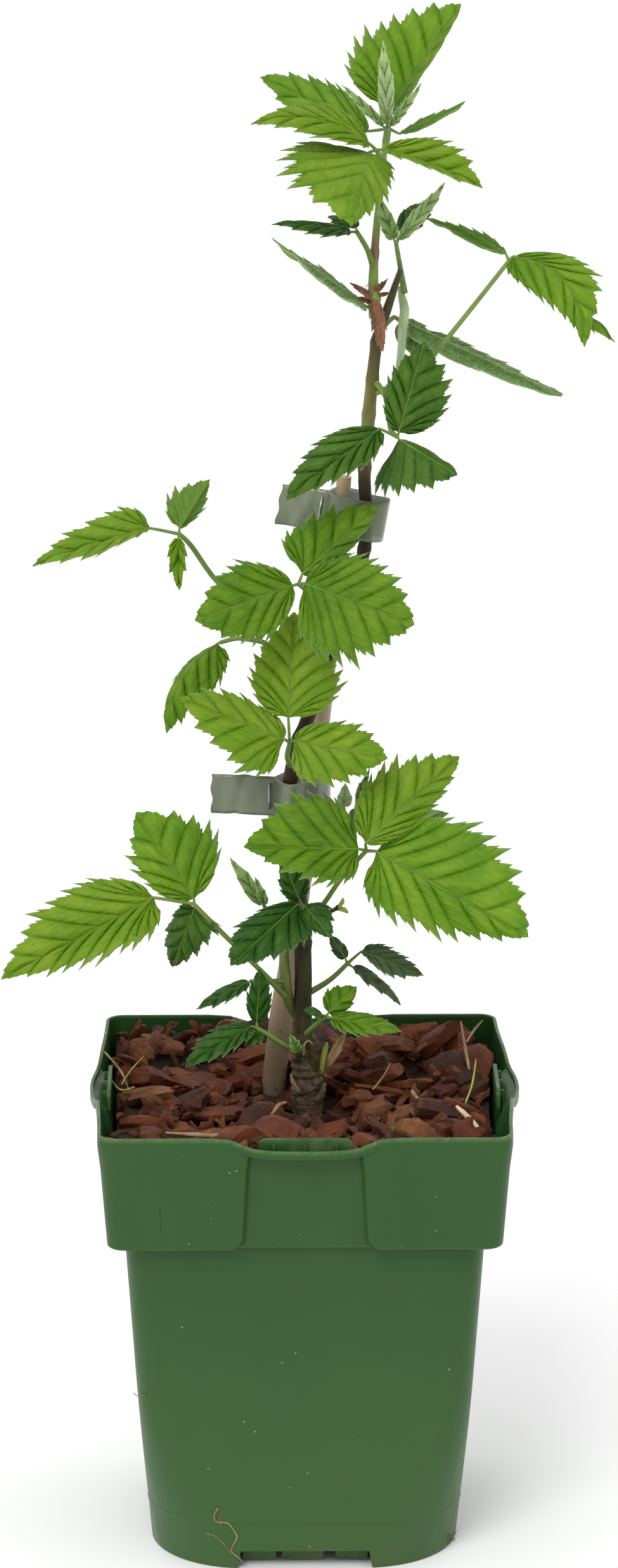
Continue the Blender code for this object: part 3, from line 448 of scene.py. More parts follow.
def leafMaterial(name, look, under):
    flesh, light, vein = look["tones"]
    if under:  # paler and greyer, with raised pale veins
        grey = (0.045, 0.090, 0.024)
        flesh, light = (tuple(c * 0.5 + g for c, g in zip(tone, grey)) for tone in (flesh, light))
        vein = tuple(c * 1.25 for c in light)
    material, tree, shader = newMaterial(
        name, Roughness=look["rough"] + (0.15 if under else 0.0), Specular_IOR_Level=0.16,
    )
    lateral, outward = mapAxes(tree, "veins")
    phase, reach = mapAxes(tree, "blade")
    place = objectPlace(tree)
    wander = times(tree, noise(tree, place, 700.0, 2.0), 0.3)
    nearVein = maths(tree, "SUBTRACT", lateral, wander)
    line = remap(tree, nearVein, 0.0, 0.55, 1.0, 0.0)
    middle = remap(tree, outward, 0.2, 0.7, 1.0, 0.0)
    # painted light and shade: the flesh is lighter on the bulges between veins and darker toward the vein
    # furrows
    paintedPleatLight = remap(tree, nearVein, 0.1, 1.9, 0.45, 1.0)
    stretched = joinAxes(tree, times(tree, outward, 0.5), times(tree, phase, 1.6))
    rungs = remap(tree, noise(tree, stretched, 1.0, 1.5, 0.5, 0.6), 0.35, 0.65)
    blotch = remap(tree, noise(tree, place, 70.0, 4.0), 0.35, 0.65)
    tone = maths(tree, "MULTIPLY_ADD", rungs, 0.3, times(tree, blotch, 0.6))
    colour = mixColour(tree, times(tree, tone, paintedPleatLight), flesh, light)
    # painted shade: the top's vein lines are darkened as shade in their sunken furrows; the underside's
    # raised veins are truly paler
    colour = mixColour(tree, times(tree, line, 0.22), colour, vein)
    colour = mixColour(tree, times(tree, middle, 0.4), colour, light)
    edge = remap(tree, reach, 0.90, 1.0, 0.0, look.get("rim", 0.22))
    colour = mixColour(tree, edge, colour, (0.400, 0.500, 0.290))
    if "spots" in look:
        spot = remap(tree, noise(tree, place, 420.0, 3.0), 0.60, 0.68, 0.0, look["spots"])
        colour = mixColour(tree, spot, colour, (0.080, 0.035, 0.016))
    setColour(tree, shader, colour)
    fine = times(tree, noise(tree, place, 1500.0, 3.0), 0.30)
    raised = maths(tree, "MULTIPLY_ADD", rungs, 0.7, fine)
    height = maths(tree, "ADD" if under else "SUBTRACT", raised, times(tree, line, 0.5))
    setBump(tree, shader, height, 0.6, 0.0006)
    return material


def skinMaterial(name, low, high, roughness=0.55, scale=120.0, stretch=0.25, bump=0.3):
    # living or dry skin: two tones mixed by a noise that runs along the stem
    material, tree, shader = newMaterial(name, Roughness=roughness)
    place = objectPlace(tree, (1, 1, stretch))
    mixed = remap(tree, noise(tree, place, scale, 6.0, 0.6), 0.32, 0.68)
    setColour(tree, shader, mixColour(tree, mixed, low, high))
    setBump(tree, shader, noise(tree, place, scale * 8, 3.0), bump, 0.0003)
    return material


hairPale = skinMaterial("hairPale", (0.50, 0.60, 0.42), (0.66, 0.74, 0.58), 0.6)
stalkGreen = skinMaterial("stalkGreen", (0.080, 0.155, 0.016), (0.155, 0.245, 0.038), 0.5)
shootGreen = skinMaterial("shootGreen", (0.065, 0.095, 0.014), (0.165, 0.200, 0.045), 0.5, 260.0, 0.12)
shootSilver = skinMaterial("shootSilver", (0.170, 0.270, 0.080), (0.500, 0.590, 0.360), 0.6, 260.0)
dryBrown = skinMaterial("dryBrown", (0.075, 0.026, 0.010), (0.300, 0.130, 0.060), 0.75, 420.0)
soilDark = skinMaterial("soilDark", (0.010, 0.005, 0.003), (0.050, 0.022, 0.012), 0.95, 200.0, 1.0, 0.8)
dryTan = skinMaterial("dryTan", (0.190, 0.100, 0.045), (0.400, 0.265, 0.140), 0.75, 260.0)
print("finishes and trees made")

# leaves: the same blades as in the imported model, with pleats, fine teeth, veins and a thin wall
leafShape = {
    "rows": (0.0, 0.07, 0.15, 0.24, 0.36, 0.42, 0.54, 0.66, 0.72, 0.87),  # from one vein to the next
    # how far the margin stands out there
    "tooth": (1.0, 0.60, 0.24, 0.0, 0.32, 0.14, 0.40, 0.66, 0.42, 0.74),
    "tipRows": (0.0, 0.09, 0.20, 0.36, 0.50, 0.66, 0.85, 1.0),
    "tipTooth": (1.0, 0.45, 0.05, 0.5, 0.2, 0.4, 0.1, 0.0),
    "columns": (0.0, 0.06, 0.15, 0.27, 0.41, 0.56, 0.70, 0.82, 0.92, 1.0),
    "fan": 0.36, "slant": 1.35, "bow": 0.085, "low": 0.79, "high": 1.06, "pleat": 0.18, "camber": 0.03,
    "thickness": 0.26, "teeth": 6, "toothAt": 0.62, "toothStray": 0.12,
    "widest": 0.42, "arch": 0.05, "ripple": 0.45, "furrow": 0.3,
    "darkPleat": 1.25, "silverBite": 0.4, "stalk": (1.15, 0.85, 0.7),  # the stalk's foot, length and fork
}
hairs = {  # how many to a square metre, their length in mm, and how far out on the blade they start
    "silver": {"Density": 1.6e6, "Length": 1.3, "FromEdge": 0.0, "Thickness": 0.035, "Seed": 7},
    "plain": {"Density": 0.5e6, "Length": 0.9, "FromEdge": 0.9, "Thickness": 0.035, "Seed": 7},
    "upper": {"Density": 1.2e6, "Length": 0.8, "FromEdge": -1.0, "Seed": 11},
    "young": {"Density": 6e6, "Length": 1.2, "FromEdge": -1.0, "Seed": 12},
}


def growHairs(piece, kind):
    return runTree(piece, hairTree, Hair=hairPale, **hairs[kind])




def leaflet(base, tip, left, right, **more):
    # a side is (half width across the view in mm, how far its edge comes forward, where it is widest)
    sides = [(*side, leafShape["widest"])[:3] for side in (left, right)]
    return {"base": base, "tip": tip, "sides": sides, **more}


leaves = {
    "leaf_top_back": {
        "green": "mid", "stem": (608, 240, 0), "stalk": ((614, 203, 6),),
        "leaflets": (
            leaflet((613, 177, 6), (727, 6, 12), (22.5, -2, 0.36), (2.5, -13), lobe=0.2, teeth=7),
            leaflet((581, 207, 7), (410, 122, 12), (8, 8), (9, -9, 0.5)),
            leaflet((630, 211, 7), (733, 160, 16), (1.2, -8), (1.6, 8), teeth=5, under=True),
        ),
    },
    "leaf_top_front": {
        "green": "lime", "stem": (606, 262, 0), "stalk": ((594, 237, -7),),
        "leaflets": (
            leaflet((583, 227, -8), (396, 197, -16), (5.5, 7), (6, -6), bend=0.12),
            leaflet((583, 240, -9), (554, 356, -38), (10, -5), (27, -4, 0.46), lobe=0.3, arch=0.12,
                    teeth=7),
            leaflet((606, 236, -7), (761, 297, -15), (10.3, -4, 0.52), (0.8, 9)),
        ),
    },
    "leaf_top_folded": {
        "green": "silver", "stem": (608, 224, 0), "stalk": ((610, 204, -1),),
        "leaflets": (
            leaflet((611, 197, -2), (605, 64, -4), (2.9, 2.6), (2.9, 2.6), teeth=5, bite=0.2,
                    green="downy"),
            leaflet((604, 199, -3), (539, 134, -5), (1.6, 2), (2.1, 2), teeth=4, bite=0.4),
            leaflet((616, 198, -3), (665, 132, -6), (1.6, 2), (2.0, 2), teeth=4, bite=0.4),
        ),
    },
    "leaf_young_right": {
        "green": "silver", "stem": (638, 462, 10), "stalk": ((632, 425, 8), (625, 385, 2)),
        "leaflets": (
            leaflet((621, 377, 0), (597, 310, -5), (3.0, 2.4), (2.8, 2.4), teeth=4, bite=0.3),
            leaflet((629, 378, 2), (702, 289, 6), (2.4, 2.6), (3.0, 2.6), teeth=5, bite=0.3, green="downy"),
            leaflet((632, 368, 9), (686, 316, 14), (4.8, -3), (3.5, 3), teeth=4, green="dark"),
        ),
    },
    "leaf_young_left": {
        "green": "deep", "stem": (590, 426, 2), "stalk": ((580, 395, -2), (563, 366, -5)),
        "leaflets": (
            leaflet((555, 366, -5), (429, 354, -12), (2.4, 6), (1.9, -6), teeth=5),
            leaflet((562, 360, -1), (518, 341, 6), (2, 4), (3, -4), teeth=4),
        ),
    },
    "leaf_narrow_left": {
        "green": "silver", "stem": (590, 484, 1), "stalk": ((581, 485, -2),),
        "leaflets": (
            leaflet((579, 484, -2), (428, 375, -10), (2.0, 7, 0.25), (1.6, -7, 0.3), under=True),
        ),
    },
    "leaf_far_right": {
        "green": "mid", "stem": (586, 622, 4),
        "stalk": ((640, 600, 2), (690, 553, 3), (803, 412, 8)),
        "leaflets": (
            leaflet((798, 401, 9), (674, 346, 22), (2.2, 6), (2.2, -6), bend=0.05, arch=0.1, under=True),
            leaflet((810, 405, 7), (922, 547, -12), (10.5, -3, 0.52), (10, -3, 0.35), bend=-0.2, teeth=7),
            leaflet((816, 414, 12), (971, 541, 18), (2, -5), (2.5, 5), teeth=4),
        ),
    },
    "leaf_long_right": {
        "green": "silver", "stem": (598, 522, 4), "stalk": ((612, 508, 14), (622, 500, 17)),
        "leaflets": (
            leaflet((627, 502, 17), (886, 624, 30), (2.5, -8, 0.6), (4.8, 7, 0.38), teeth=7, under=True),
            leaflet((630, 508, 18), (690, 562, 15), (5, -3), (6, 3), teeth=4, under=True),
        ),
    },
    "leaf_dark_upper": {
        "green": "deep", "stem": (590, 600, 4),
        "stalk": ((610, 630, -3), (616, 676, -10), (627, 690, -12)),
        "leaflets": (
            leaflet((629, 683, -12), (670, 539, -5), (9, -2, 0.45), (14.2, -3, 0.45)),
            leaflet((599, 677, -14), (452, 788, -28), (7.2, 6, 0.38), (9.5, -5, 0.52)),
            leaflet((629, 693, -13), (720, 749, -34), (1, -12), (18, -3, 0.3), lobe=0.52),
        ),
    },
    "leaf_middle": {
        "stem": (540, 968, 2.6), "stalk": ((505, 948, -9), (471, 922, -18)),
        "leaflets": (
            leaflet((477, 906, -17), (597, 797, -12), (14.5, -3, 0.3), (5.5, -4, 0.5), lobe=0.15),
            leaflet((463, 924, -19), (308, 979, -30), (14.5, -2, 0.5), (14, -4, 0.48)),
            leaflet((480, 921, -22), (652, 985, -50), (16.5, -4, 0.55), (22, -6, 0.45), lobe=0.2,
                    arch=0.1, teeth=7),
        ),
    },
    "leaf_far_left": {
        "green": "lime", "stem": (512, 1055, 1.2),
        "stalk": ((430, 1000, 6), (346, 922, 4), (302, 862, 1), (283, 843, 0)),
        "leaflets": (
            leaflet((238, 834, -2), (52, 894, -10), (2.8, 9, 0.55), (10, -6, 0.35), lobe=0.15),
            leaflet((283, 834, 1), (331, 757, 5), (9, -3, 0.38), (3.6, -3, 0.5), teeth=5, under=True),
            leaflet((281, 849, -1), (283, 931, -6), (3, 3), (4, 3), teeth=4),
        ),
    },
    "leaf_drooping_left": {
        "green": "bright", "stem": (489, 1125, 0),
        "stalk": ((440, 1030, 9), (385, 1008, 11), (348, 1014, 12)),
        "leaflets": (
            leaflet((343, 1016, 12), (263, 1157, 2), (12, 0, 0.4), (1.5, -9, 0.5), bend=0.14, teeth=7),
        ),
    },
    "leaf_lower_middle": {
        "green": "lime", "stem": (462, 1212, -2), "stalk": ((453, 1195, -8), (457, 1172, -13)),
        "leaflets": (
            leaflet((455, 1133, -14), (464, 966, -5), (14.5, -2), (18, -2, 0.4), teeth=7),
            leaflet((449, 1167, -15), (285, 1101, -24), (15.5, 2, 0.33), (8.5, -7, 0.5), lobe=0.25),
            leaflet((463, 1169, -15), (611, 1197, -26), (10, -4, 0.55), (14, -3, 0.38), lobe=0.2),
        ),
    },
    "leaf_lower_right": {
        "green": "mid", "stem": (476, 1452, 0),
        "stalk": ((506, 1432, -8), (540, 1384, -13), (578, 1343, -17)),
        "leaflets": (
            leaflet((566, 1340, -19), (385, 1337, -30), (12.5, 4, 0.35), (20, -6, 0.45), lobe=0.1, teeth=7,
                    green="bright"),
            leaflet((577, 1331, -21), (724, 1194, -8), (16, -3), (8, -3, 0.5), green="lime"),
            leaflet((594, 1344, -18), (833, 1479, -34), (25, -4, 0.5), (17.5, -6, 0.33), lobe=0.22,
                    teeth=7),
        ),
    },
    "leaf_lower_left": {
        "green": "mid", "stem": (450, 1572, -2),
        "stalk": ((405, 1526, -4), (350, 1472, -5), (306, 1427, -6)),
        "leaflets": (
            leaflet((243, 1417, -8), (2, 1546, -24), (11.5, 6, 0.3), (17.5, -7, 0.45), lobe=0.04, teeth=7,
                    green="lime"),
            leaflet((306, 1419, -5), (215, 1282, 2), (12, -2, 0.5), (19, -2, 0.45)),
            leaflet((307, 1434, -3), (272, 1526, 8), (10, 3, 0.22), (7, -4, 0.55), lobe=0.4, teeth=5,
                    green="deep"),
        ),
    },
    "leaf_dark_lower": {
        "green": "dark", "stem": (475, 1474, 0), "stalk": ((477, 1446, -8), (476, 1428, -11)),
        "leaflets": (
            leaflet((469, 1428, -12), (364, 1524, -32), (12, 2, 0.35), (9, -4, 0.6), lobe=0.15),
            leaflet((481, 1430, -12), (523, 1481, -34), (6.5, -3, 0.5), (3.8, -3, 0.5), arch=0.15, teeth=4),
            leaflet((473, 1421, -10), (446, 1358, -6), (5, -2), (6, -2), teeth=4),
        ),
    },
    "leaf_bud_left": {
        "green": "silver", "stem": (450, 1500, 4), "stalk": ((432, 1460, 3), (418, 1434, 2)),
        "leaflets": (
            leaflet((414, 1427, 2), (363, 1354, 0), (2.9, 1.8), (2.6, 1.8), teeth=4, bite=0.15),
            leaflet((418, 1427, 0), (402, 1384, -4), (1.8, 1.4), (1.9, 1.4), teeth=3, bite=0.15),
        ),
    },
    "leaf_dull_right": {
        "green": "dull", "stem": (479, 1572, 0), "stalk": ((520, 1547, 3), (548, 1521, 4)),
        "leaflets": (
            leaflet((570, 1502, 4), (668, 1540, -3), (5, -5, 0.35), (4.5, 6, 0.6), arch=0.12),
            leaflet((556, 1526, 3), (632, 1586, -3), (3, -5), (1.6, 5), teeth=4),
            leaflet((545, 1513, 5), (521, 1476, 8), (2.5, -2), (2.5, -2), teeth=3),
        ),
    },
    "leaf_crown_right": {
        "stem": (479, 1636, 0), "stalk": ((498, 1618, -9), (515, 1604, -10)),
        "leaflets": (
            leaflet((518, 1599, -8), (563, 1558, -4), (6.5, -2), (4, -2), teeth=4),
            leaflet((522, 1606, -11), (634, 1628, -18), (4, -5), (4.6, 5), teeth=5),
            leaflet((509, 1602, -12), (480, 1594, -15), (2, 3), (1.6, -3), teeth=3, green="dark"),
        ),
    },
    "leaf_crown_left": {
        "green": "dark", "stem": (480, 1662, 0),
        "stalk": ((452, 1652, -10), (424, 1634, -13), (406, 1623, -13)),
        "leaflets": (
            leaflet((398, 1620, -14), (293, 1685, -27), (4, 6), (6.2, -5, 0.48), teeth=5),
            leaflet((405, 1614, -12), (410, 1529, -13), (4, -2), (4.8, -2), teeth=5),
            leaflet((407, 1629, -15), (386, 1652, -21), (3.5, 2), (2, 2), teeth=3),
        ),
    },
    "leaf_low_left_small": {
        "green": "dark", "stem": (450, 1548, -1), "stalk": ((420, 1550, -1), (395, 1549, 2)),
        "leaflets": (leaflet((393, 1550, 2), (310, 1593, -2), (3, 5), (2.6, -5), teeth=5),),
    },
    "leaf_small_behind": {
        "green": "silver", "stem": (534, 1298, 7), "stalk": ((556, 1288, 4), (564, 1270, 3)),
        "leaflets": (
            leaflet((565, 1262, 3), (583, 1214, 2), (1.8, 3), (1.8, 3), teeth=3),
            leaflet((561, 1276, 1), (558, 1318, -2), (2.2, -2), (2.5, -2), teeth=3),
            leaflet((620, 1304, 9), (708, 1284, 11), (4, -2), (3, 2), teeth=4),
        ),
    },
    "leaf_bud_middle": {
        "green": "silver", "stem": (540, 1285, 7), "stalk": ((542, 1276, 6),),
        "leaflets": (
            leaflet((543, 1272, 6), (545, 1236, 4), (2.7, 2), (2.7, 2), teeth=3, bite=0.1, green="bud"),
        ),
    },
}


def bladeReach(u, widest):
    # how far the margin reaches out, from the leaflet's base (0) to its tip (1)
    swell = np.maximum(np.sin(math.pi * u ** (math.log(0.5) / math.log(widest))), 0.0)
    return swell ** (0.55 + 0.35 * u) * (1 - 0.12 * u)


def midrib(form):
    # the line from a leaflet's base to its tip, with its directions across and toward the view
    base, tip = np.array(seen(form["base"])), np.array(seen(form["tip"]))
    length = np.linalg.norm(tip - base)
    along = (tip - base) / length
    facing = np.array(eye) - base
    facing -= along * facing.dot(along)
    facing /= np.linalg.norm(facing)
    across = np.cross(along, facing)
    rise = (facing * form.get("arch", leafShape["arch"]) + across * form.get("bend", 0.0)) * 4 * length

    def rib(t):
        t = np.asarray(t, float)[..., None]
        return base + along * (length * t) + rise * (t * (1 - t))

    return rib, length, along, facing, across


def bladeParts(form, draw, pleat, bite):
    # rows of points that run along the veins, from the midrib to the toothed margin
    rib, length, along, facing, across = midrib(form)
    lobe = form.get("lobe", 0.0)
    veins = form.get("teeth", leafShape["teeth"]) + (length > 22) + 2 * (length > 40)
    perVein, tipRows = len(leafShape["rows"]), np.array(leafShape["tipRows"])
    cells = np.repeat(np.arange(veins), perVein)
    phase = np.concatenate([cells + np.tile(leafShape["rows"], veins), veins + tipRows])
    cells = np.concatenate([cells, np.full(len(tipRows), veins)])
    between = phase - cells  # 0 and 1 on the veins, 0.5 midway between two
    lower, upper = cells * perVein, np.minimum((cells + 1) * perVein, len(phase) - 1)
    columns = np.array(leafShape["columns"])
    size = min(length / 45.0, 1.2)
    top = -1.0 if form.get("under") else 1.0
    made = []
    for hand in (-1, 1):
        half, forward, widest = form["sides"][hand > 0]
        strays = [draw.uniform(-leafShape["toothStray"], leafShape["toothStray"]) for _ in range(veins)]
        ends = [(j + leafShape["toothAt"] + stray) / veins for j, stray in enumerate(strays)]
        ends = [0.012, *ends, 1.0]
        margin = np.interp(phase, np.arange(veins + 2), ends)
        root = np.clip((margin - leafShape["fan"]) / (1 - leafShape["fan"]), 0.0, 1.0) ** leafShape["slant"]
        tooth = np.concatenate([np.tile(leafShape["tooth"], veins), leafShape["tipTooth"]])
        tooth[0] = 0.2
        tooth *= np.repeat([draw.uniform(0.7, 1.2) for _ in range(veins + 2)], perVein)[3: len(phase) + 3]
        reach = leafShape["low"] + (leafShape["high"] - leafShape["low"]) * tooth
        reach = 0.97 + (reach - 0.97) * form.get("bite", bite)
        side = across * (hand * half) + facing * forward
        edge = rib(margin) + side * bladeReach(margin, widest)[:, None]
        edge -= along * (lobe * 4 * margin * (1 - margin) ** 3 * length)[:, None]
        start = rib(root)
        vein = edge - start
        span = np.linalg.norm(vein, axis=1)[:, None]
        out = columns[None, :] * (1 + (reach[:, None] - 1) * columns[None, :] ** 4)
        grid = start[:, None, :] + vein[:, None, :] * out[:, :, None]
        ahead = 0.05 * tooth[:, None] * columns ** 4 + leafShape["bow"] * np.sin(math.pi * columns)[None, :]
        grid += along * (span * ahead)[:, :, None]
        normal = facing * half - across * (hand * forward)
        normal /= np.linalg.norm(normal)
        cell = np.linalg.norm(grid[upper] - grid[lower], axis=2)
        lift = pleat * cell * np.sin(math.pi * between)[:, None] ** 0.85 * (1 - 0.7 * columns ** 3)
        lift *= 1 - np.exp(-(span * out / 1.3) ** 2)
        lift += leafShape["camber"] * span * np.sin(math.pi * columns)[None, :]
        wave = draw.uniform(0, 6.28)
        ripple = np.sin(6.28 * 1.4 * margin + wave) + 0.5 * np.sin(6.28 * 3.3 * margin + 2 * wave)
        lift += leafShape["ripple"] * size * ripple[:, None] * columns[None, :] ** 2
        furrow = leafShape["furrow"] * size * np.exp(-(span * out / 0.9) ** 2)
        grid = grid + normal * (top * lift)[:, :, None] - facing * (top * furrow)[:, :, None]
        quads = sum(len(points) for points, *_ in made) + gridQuads(*grid.shape[:2])
        quads = quads[:, ::-1 if hand * top < 0 else 1]
        near = np.minimum(between, 1 - between)[:, None] * cell
        veinMap = np.stack([near, span * out], axis=-1).reshape(-1, 2)
        bladeMap = np.stack(np.broadcast_arrays(phase[:, None] + 20 * (hand > 0), columns), -1)
        bladeMap = bladeMap.reshape(-1, 2)
        made.append((grid.reshape(-1, 3), quads, veinMap, bladeMap))
    return [np.concatenate(values) for values in zip(*made)]


leafMaterials = {}


def leafPair(green):
    if green not in leafMaterials:
        leafMaterials[green] = [
            leafMaterial(green + side, leafLooks[green], side == "Under") for side in ("Top", "Under")
        ]
    return leafMaterials[green]


def makeBlade(name, form, green, draw, pleat=leafShape["pleat"], bite=1.0):
    points, faces, veinMap, bladeMap = bladeParts(form, draw, pleat, bite)
    blade = meshFrom(name, points, faces, {"veins": veinMap, "blade": bladeMap})
    weld(blade)
    for material in leafPair(form.get("green", green)):
        blade.data.materials.append(material)
    blade = thicken(blade, leafShape["thickness"], farFinish=1)
    blade.data.set_sharp_from_angle(angle=math.radians(55))  # or the thin rim darkens the teeth
    return blade


def makeLeaf(node, form, draw):
    green = form.get("green", "bright")
    silver = green == "silver"
    pleat = leafShape["pleat"] * (leafShape["darkPleat"] if green in ("dark", "deep") else 1.0)
    bite = leafShape["silverBite"] if silver else 1.0
    foot, middle, end = leafShape["stalk"]
    fork = seen(form["stalk"][-1])
    stalk = [(seen(form["stem"]), foot)] + [(seen(place), middle) for place in form["stalk"][:-1]]
    blades, stalks = [], [stalk + [(fork, end)]]
    for shape in form["leaflets"]:
        blades.append(makeBlade("blade", shape, green, draw, pleat, bite))
        rib, length, *_ = midrib(shape)
        wide = min(0.5, 0.2 + length / 160)
        line = [(Vector(rib(t)), wide * (0.72 - 0.55 * t)) for t in (0.03, 0.2, 0.4, 0.6, 0.8, 0.97)]
        stalks.append([(fork, 0.6), (Vector(rib(0.0)), wide), *line])
    blades.append(stem("stalk", stalks, stalkGreen, sides=10, bumps=0.12, steps=5))
    leaf = growHairs(joinPieces(blades, "fine_" + node), "silver" if silver else "plain")
    finishPiece(leaf, node)
    return leaf


leafDraw = random.Random(5)
leafPieces = [makeLeaf(node, form, leafDraw) for node, form in leaves.items()]
print("leaves made:", len(leaves), "with", sum(triangles(leaf) for leaf in leafPieces), "triangles")

# stems and what grows on them: (pixel x, pixel y, depth, radius in mm), from the foot up
canePath = (
    (486, 1752, 0, 5.0), (485, 1715, 0, 4.8), (482, 1680, 0, 4.3), (479, 1645, 0, 3.5),
    (478, 1600, 0, 2.9), (478, 1505, 0, 2.8), (474, 1440, 0, 2.7), (463, 1330, -1, 2.5),
    (457, 1245, -2, 2.4), (470, 1175, -1, 2.3), (487, 1130, 0, 2.3), (530, 1000, 2, 2.1),
    (575, 866, 4, 2.0), (575, 745, 4, 2.0), (581, 663, 4, 2.1), (594, 540, 4, 1.8),
    (602, 510, 4, 1.8), (612, 480, 4, 1.7), (620, 452, 4, 1.7), (628, 425, 4, 1.7),
)
bambooPath = (
    (434, 1690, 28, 4.0), (446, 1590, 25, 3.9), (462, 1490, 22, 3.5), (495, 1245, 13, 2.9),
    (510, 1120, 11, 2.6), (528, 940, 10, 2.5), (540, 790, 10, 2.4), (543, 752, 10, 2.4),
)
upperPath = (
    (588, 503, 1.0, 1.2), (590, 474, 1.0, 1.9), (589, 440, 1.5, 1.6), (591, 400, 2, 1.3),
    (595, 350, 2, 1.2), (600, 300, 1, 1.1), (605, 250, 0, 1.0), (608, 224, 0, 0.9),
)
lateralPath = (
    (476, 1632, 3, 0.5), (467, 1606, 2.5, 1.2), (456, 1580, 1, 1.8), (450, 1540, 0, 1.9),
    (450, 1490, 5, 1.7), (462, 1420, 9, 1.5), (490, 1360, 9, 1.3), (525, 1310, 8, 1.1), (540, 1285, 7, 0.9),
)
youngPath = (
    (627, 600, 7, 1.0), (633, 553, 8, 1.2), (635, 520, 8, 1.3), (638, 490, 9, 1.5),
    (634, 468, 10, 1.2), (630, 452, 11, 0.4),
)
stemForms = {
    "caneFootZ": 70.0, "bambooFootZ": 22.0, "cutTop": ((603, 489, 4), (623, 438, 4)),
    # the pixel heights of the swellings, with how much they swell and how far in mm
    "caneNodes": ((1487, 1310, 1165, 1010, 870, 742, 655, 600, 545), 0.16, 1.6),
    "crownRings": (range(1640, 1744, 13), 0.16, 0.7), "bambooNodes": ((1404, 905), 0.16, 0.9),
    "upperNodes": ((470, 400, 262), 0.22, 1.6), "threads": 9,
    "knobs": (
        ((468, 1726, -2, 1.8), (484, 1718, -4, 2.4), (504, 1720, -1, 1.8)),
        ((470, 1668, -1, 1.4), (482, 1664, -3, 2.0), (495, 1672, -1, 1.4)),
        ((498, 1738, -4, 1.2), (507, 1724, -4, 1.3), (512, 1710, -2, 0.6)),
        ((494, 1690, -2, 1.7), (496, 1670, -4, 1.6), (494, 1648, -5, 1.5)),
        ((478, 1480, -1, 1.6), (500, 1452, -1, 0.7), (520, 1440, -1, 0.6), (534, 1432, -1, 0.9)),
    ),
    "buds": (
        ((504, 1694, 0, 0.9), (508, 1676, 0, 1.3), (513, 1658, 1, 1.0), (516, 1646, 1, 0.3)),
        ((534, 1432, -1, 0.7), (540, 1424, -1, 0.8), (541, 1417, -1, 0.2)),
        ((534, 1434, -1, 0.7), (543, 1436, -1, 0.9), (549, 1441, -1, 0.3)),
    ),
    "hooks": (
        ((479, 1668, -4, 0.5), (480, 1650, -5, 0.45), (487, 1643, -5, 0.4), (494, 1650, -5, 0.3)),
        ((471, 1722, -5, 0.7), (462, 1708, -7, 0.7), (459, 1696, -8, 0.3)),
    ),
}


def swollen(path, places, height, width):
    # a ring-shaped swelling at each of the places, given by their pixel heights
    middles = []
    for place in places:
        z = seen((487.5, place, 0)).z
        middles.append(min(range(len(path)), key=lambda i: abs(path[i][0].z - z)))
    grown = []
    for i, (point, radius) in enumerate(path):
        near = max([math.exp(-((point - path[m][0]).length / width) ** 2) for m in middles] or [0])
        grown.append((point, radius * (1 + height * near)))
    return grown


def ledDown(places, footZ):
    # the stem's own line led on down to its foot in the soil
    path = stemPath(places)
    foot, radius = path[0]
    lean = (foot - path[1][0]) / (foot.z - path[1][0].z)
    return [(foot + lean * (footZ - foot.z), radius)] + path


caneBark, tree, shader = newMaterial("caneBark", Roughness=0.5, Specular_IOR_Level=0.2)
place = objectPlace(tree, (1, 1, 0.22))
axes = objectAxes(tree)
patch = remap(tree, noise(tree, place, 170.0, 5.0), 0.38, 0.62)
old = mixColour(tree, patch, (0.016, 0.010, 0.004), (0.050, 0.030, 0.010))
green = mixColour(tree, patch, (0.018, 0.024, 0.003), (0.060, 0.074, 0.010))
young = remap(tree, axes[0], -0.002, 0.002)
low = remap(tree, axes[2], 0.212, 0.214, 1.0, 0.0)
colour = mixColour(tree, times(tree, young, times(tree, low, 0.85)), old, green)
crown = remap(tree, axes[2], 0.150, 0.172, 1.0, 0.0)
mottled = remap(tree, noise(tree, objectPlace(tree), 420.0, 5.0), 0.35, 0.65)
grey = mixColour(tree, mottled, (0.014, 0.009, 0.005), (0.105, 0.070, 0.040))
colour = mixColour(tree, crown, colour, grey)
high = remap(tree, axes[2], 0.350, 0.364)
olive = mixColour(tree, patch, (0.115, 0.115, 0.030), (0.230, 0.225, 0.080))
rusty = times(tree, remap(tree, noise(tree, place, 75.0, 4.0), 0.56, 0.64), 0.6)
upperBark = mixColour(tree, rusty, olive, (0.110, 0.060, 0.028))
stub = remap(tree, axes[2], 0.380, 0.396, 0.0, 0.85)
upperBark = mixColour(tree, stub, upperBark, (0.045, 0.034, 0.014))
setColour(tree, shader, mixColour(tree, high, colour, upperBark))
rings = noise(tree, objectPlace(tree, (0.25, 0.25, 1)), 900.0, 4.0)
grain = noise(tree, objectPlace(tree, (1, 1, 0.3)), 900.0, 4.0)
rough = maths(tree, "MULTIPLY_ADD", times(tree, rings, crown), 2.0, grain)
setBump(tree, shader, rough, 0.6, 0.0006)

cutWood = skinMaterial("cutWood", (0.22, 0.17, 0.08), (0.42, 0.36, 0.20), 0.7, 500.0, 1.0)
budGreen = skinMaterial("budGreen", (0.20, 0.26, 0.03), (0.38, 0.42, 0.08), 0.5, 300.0)

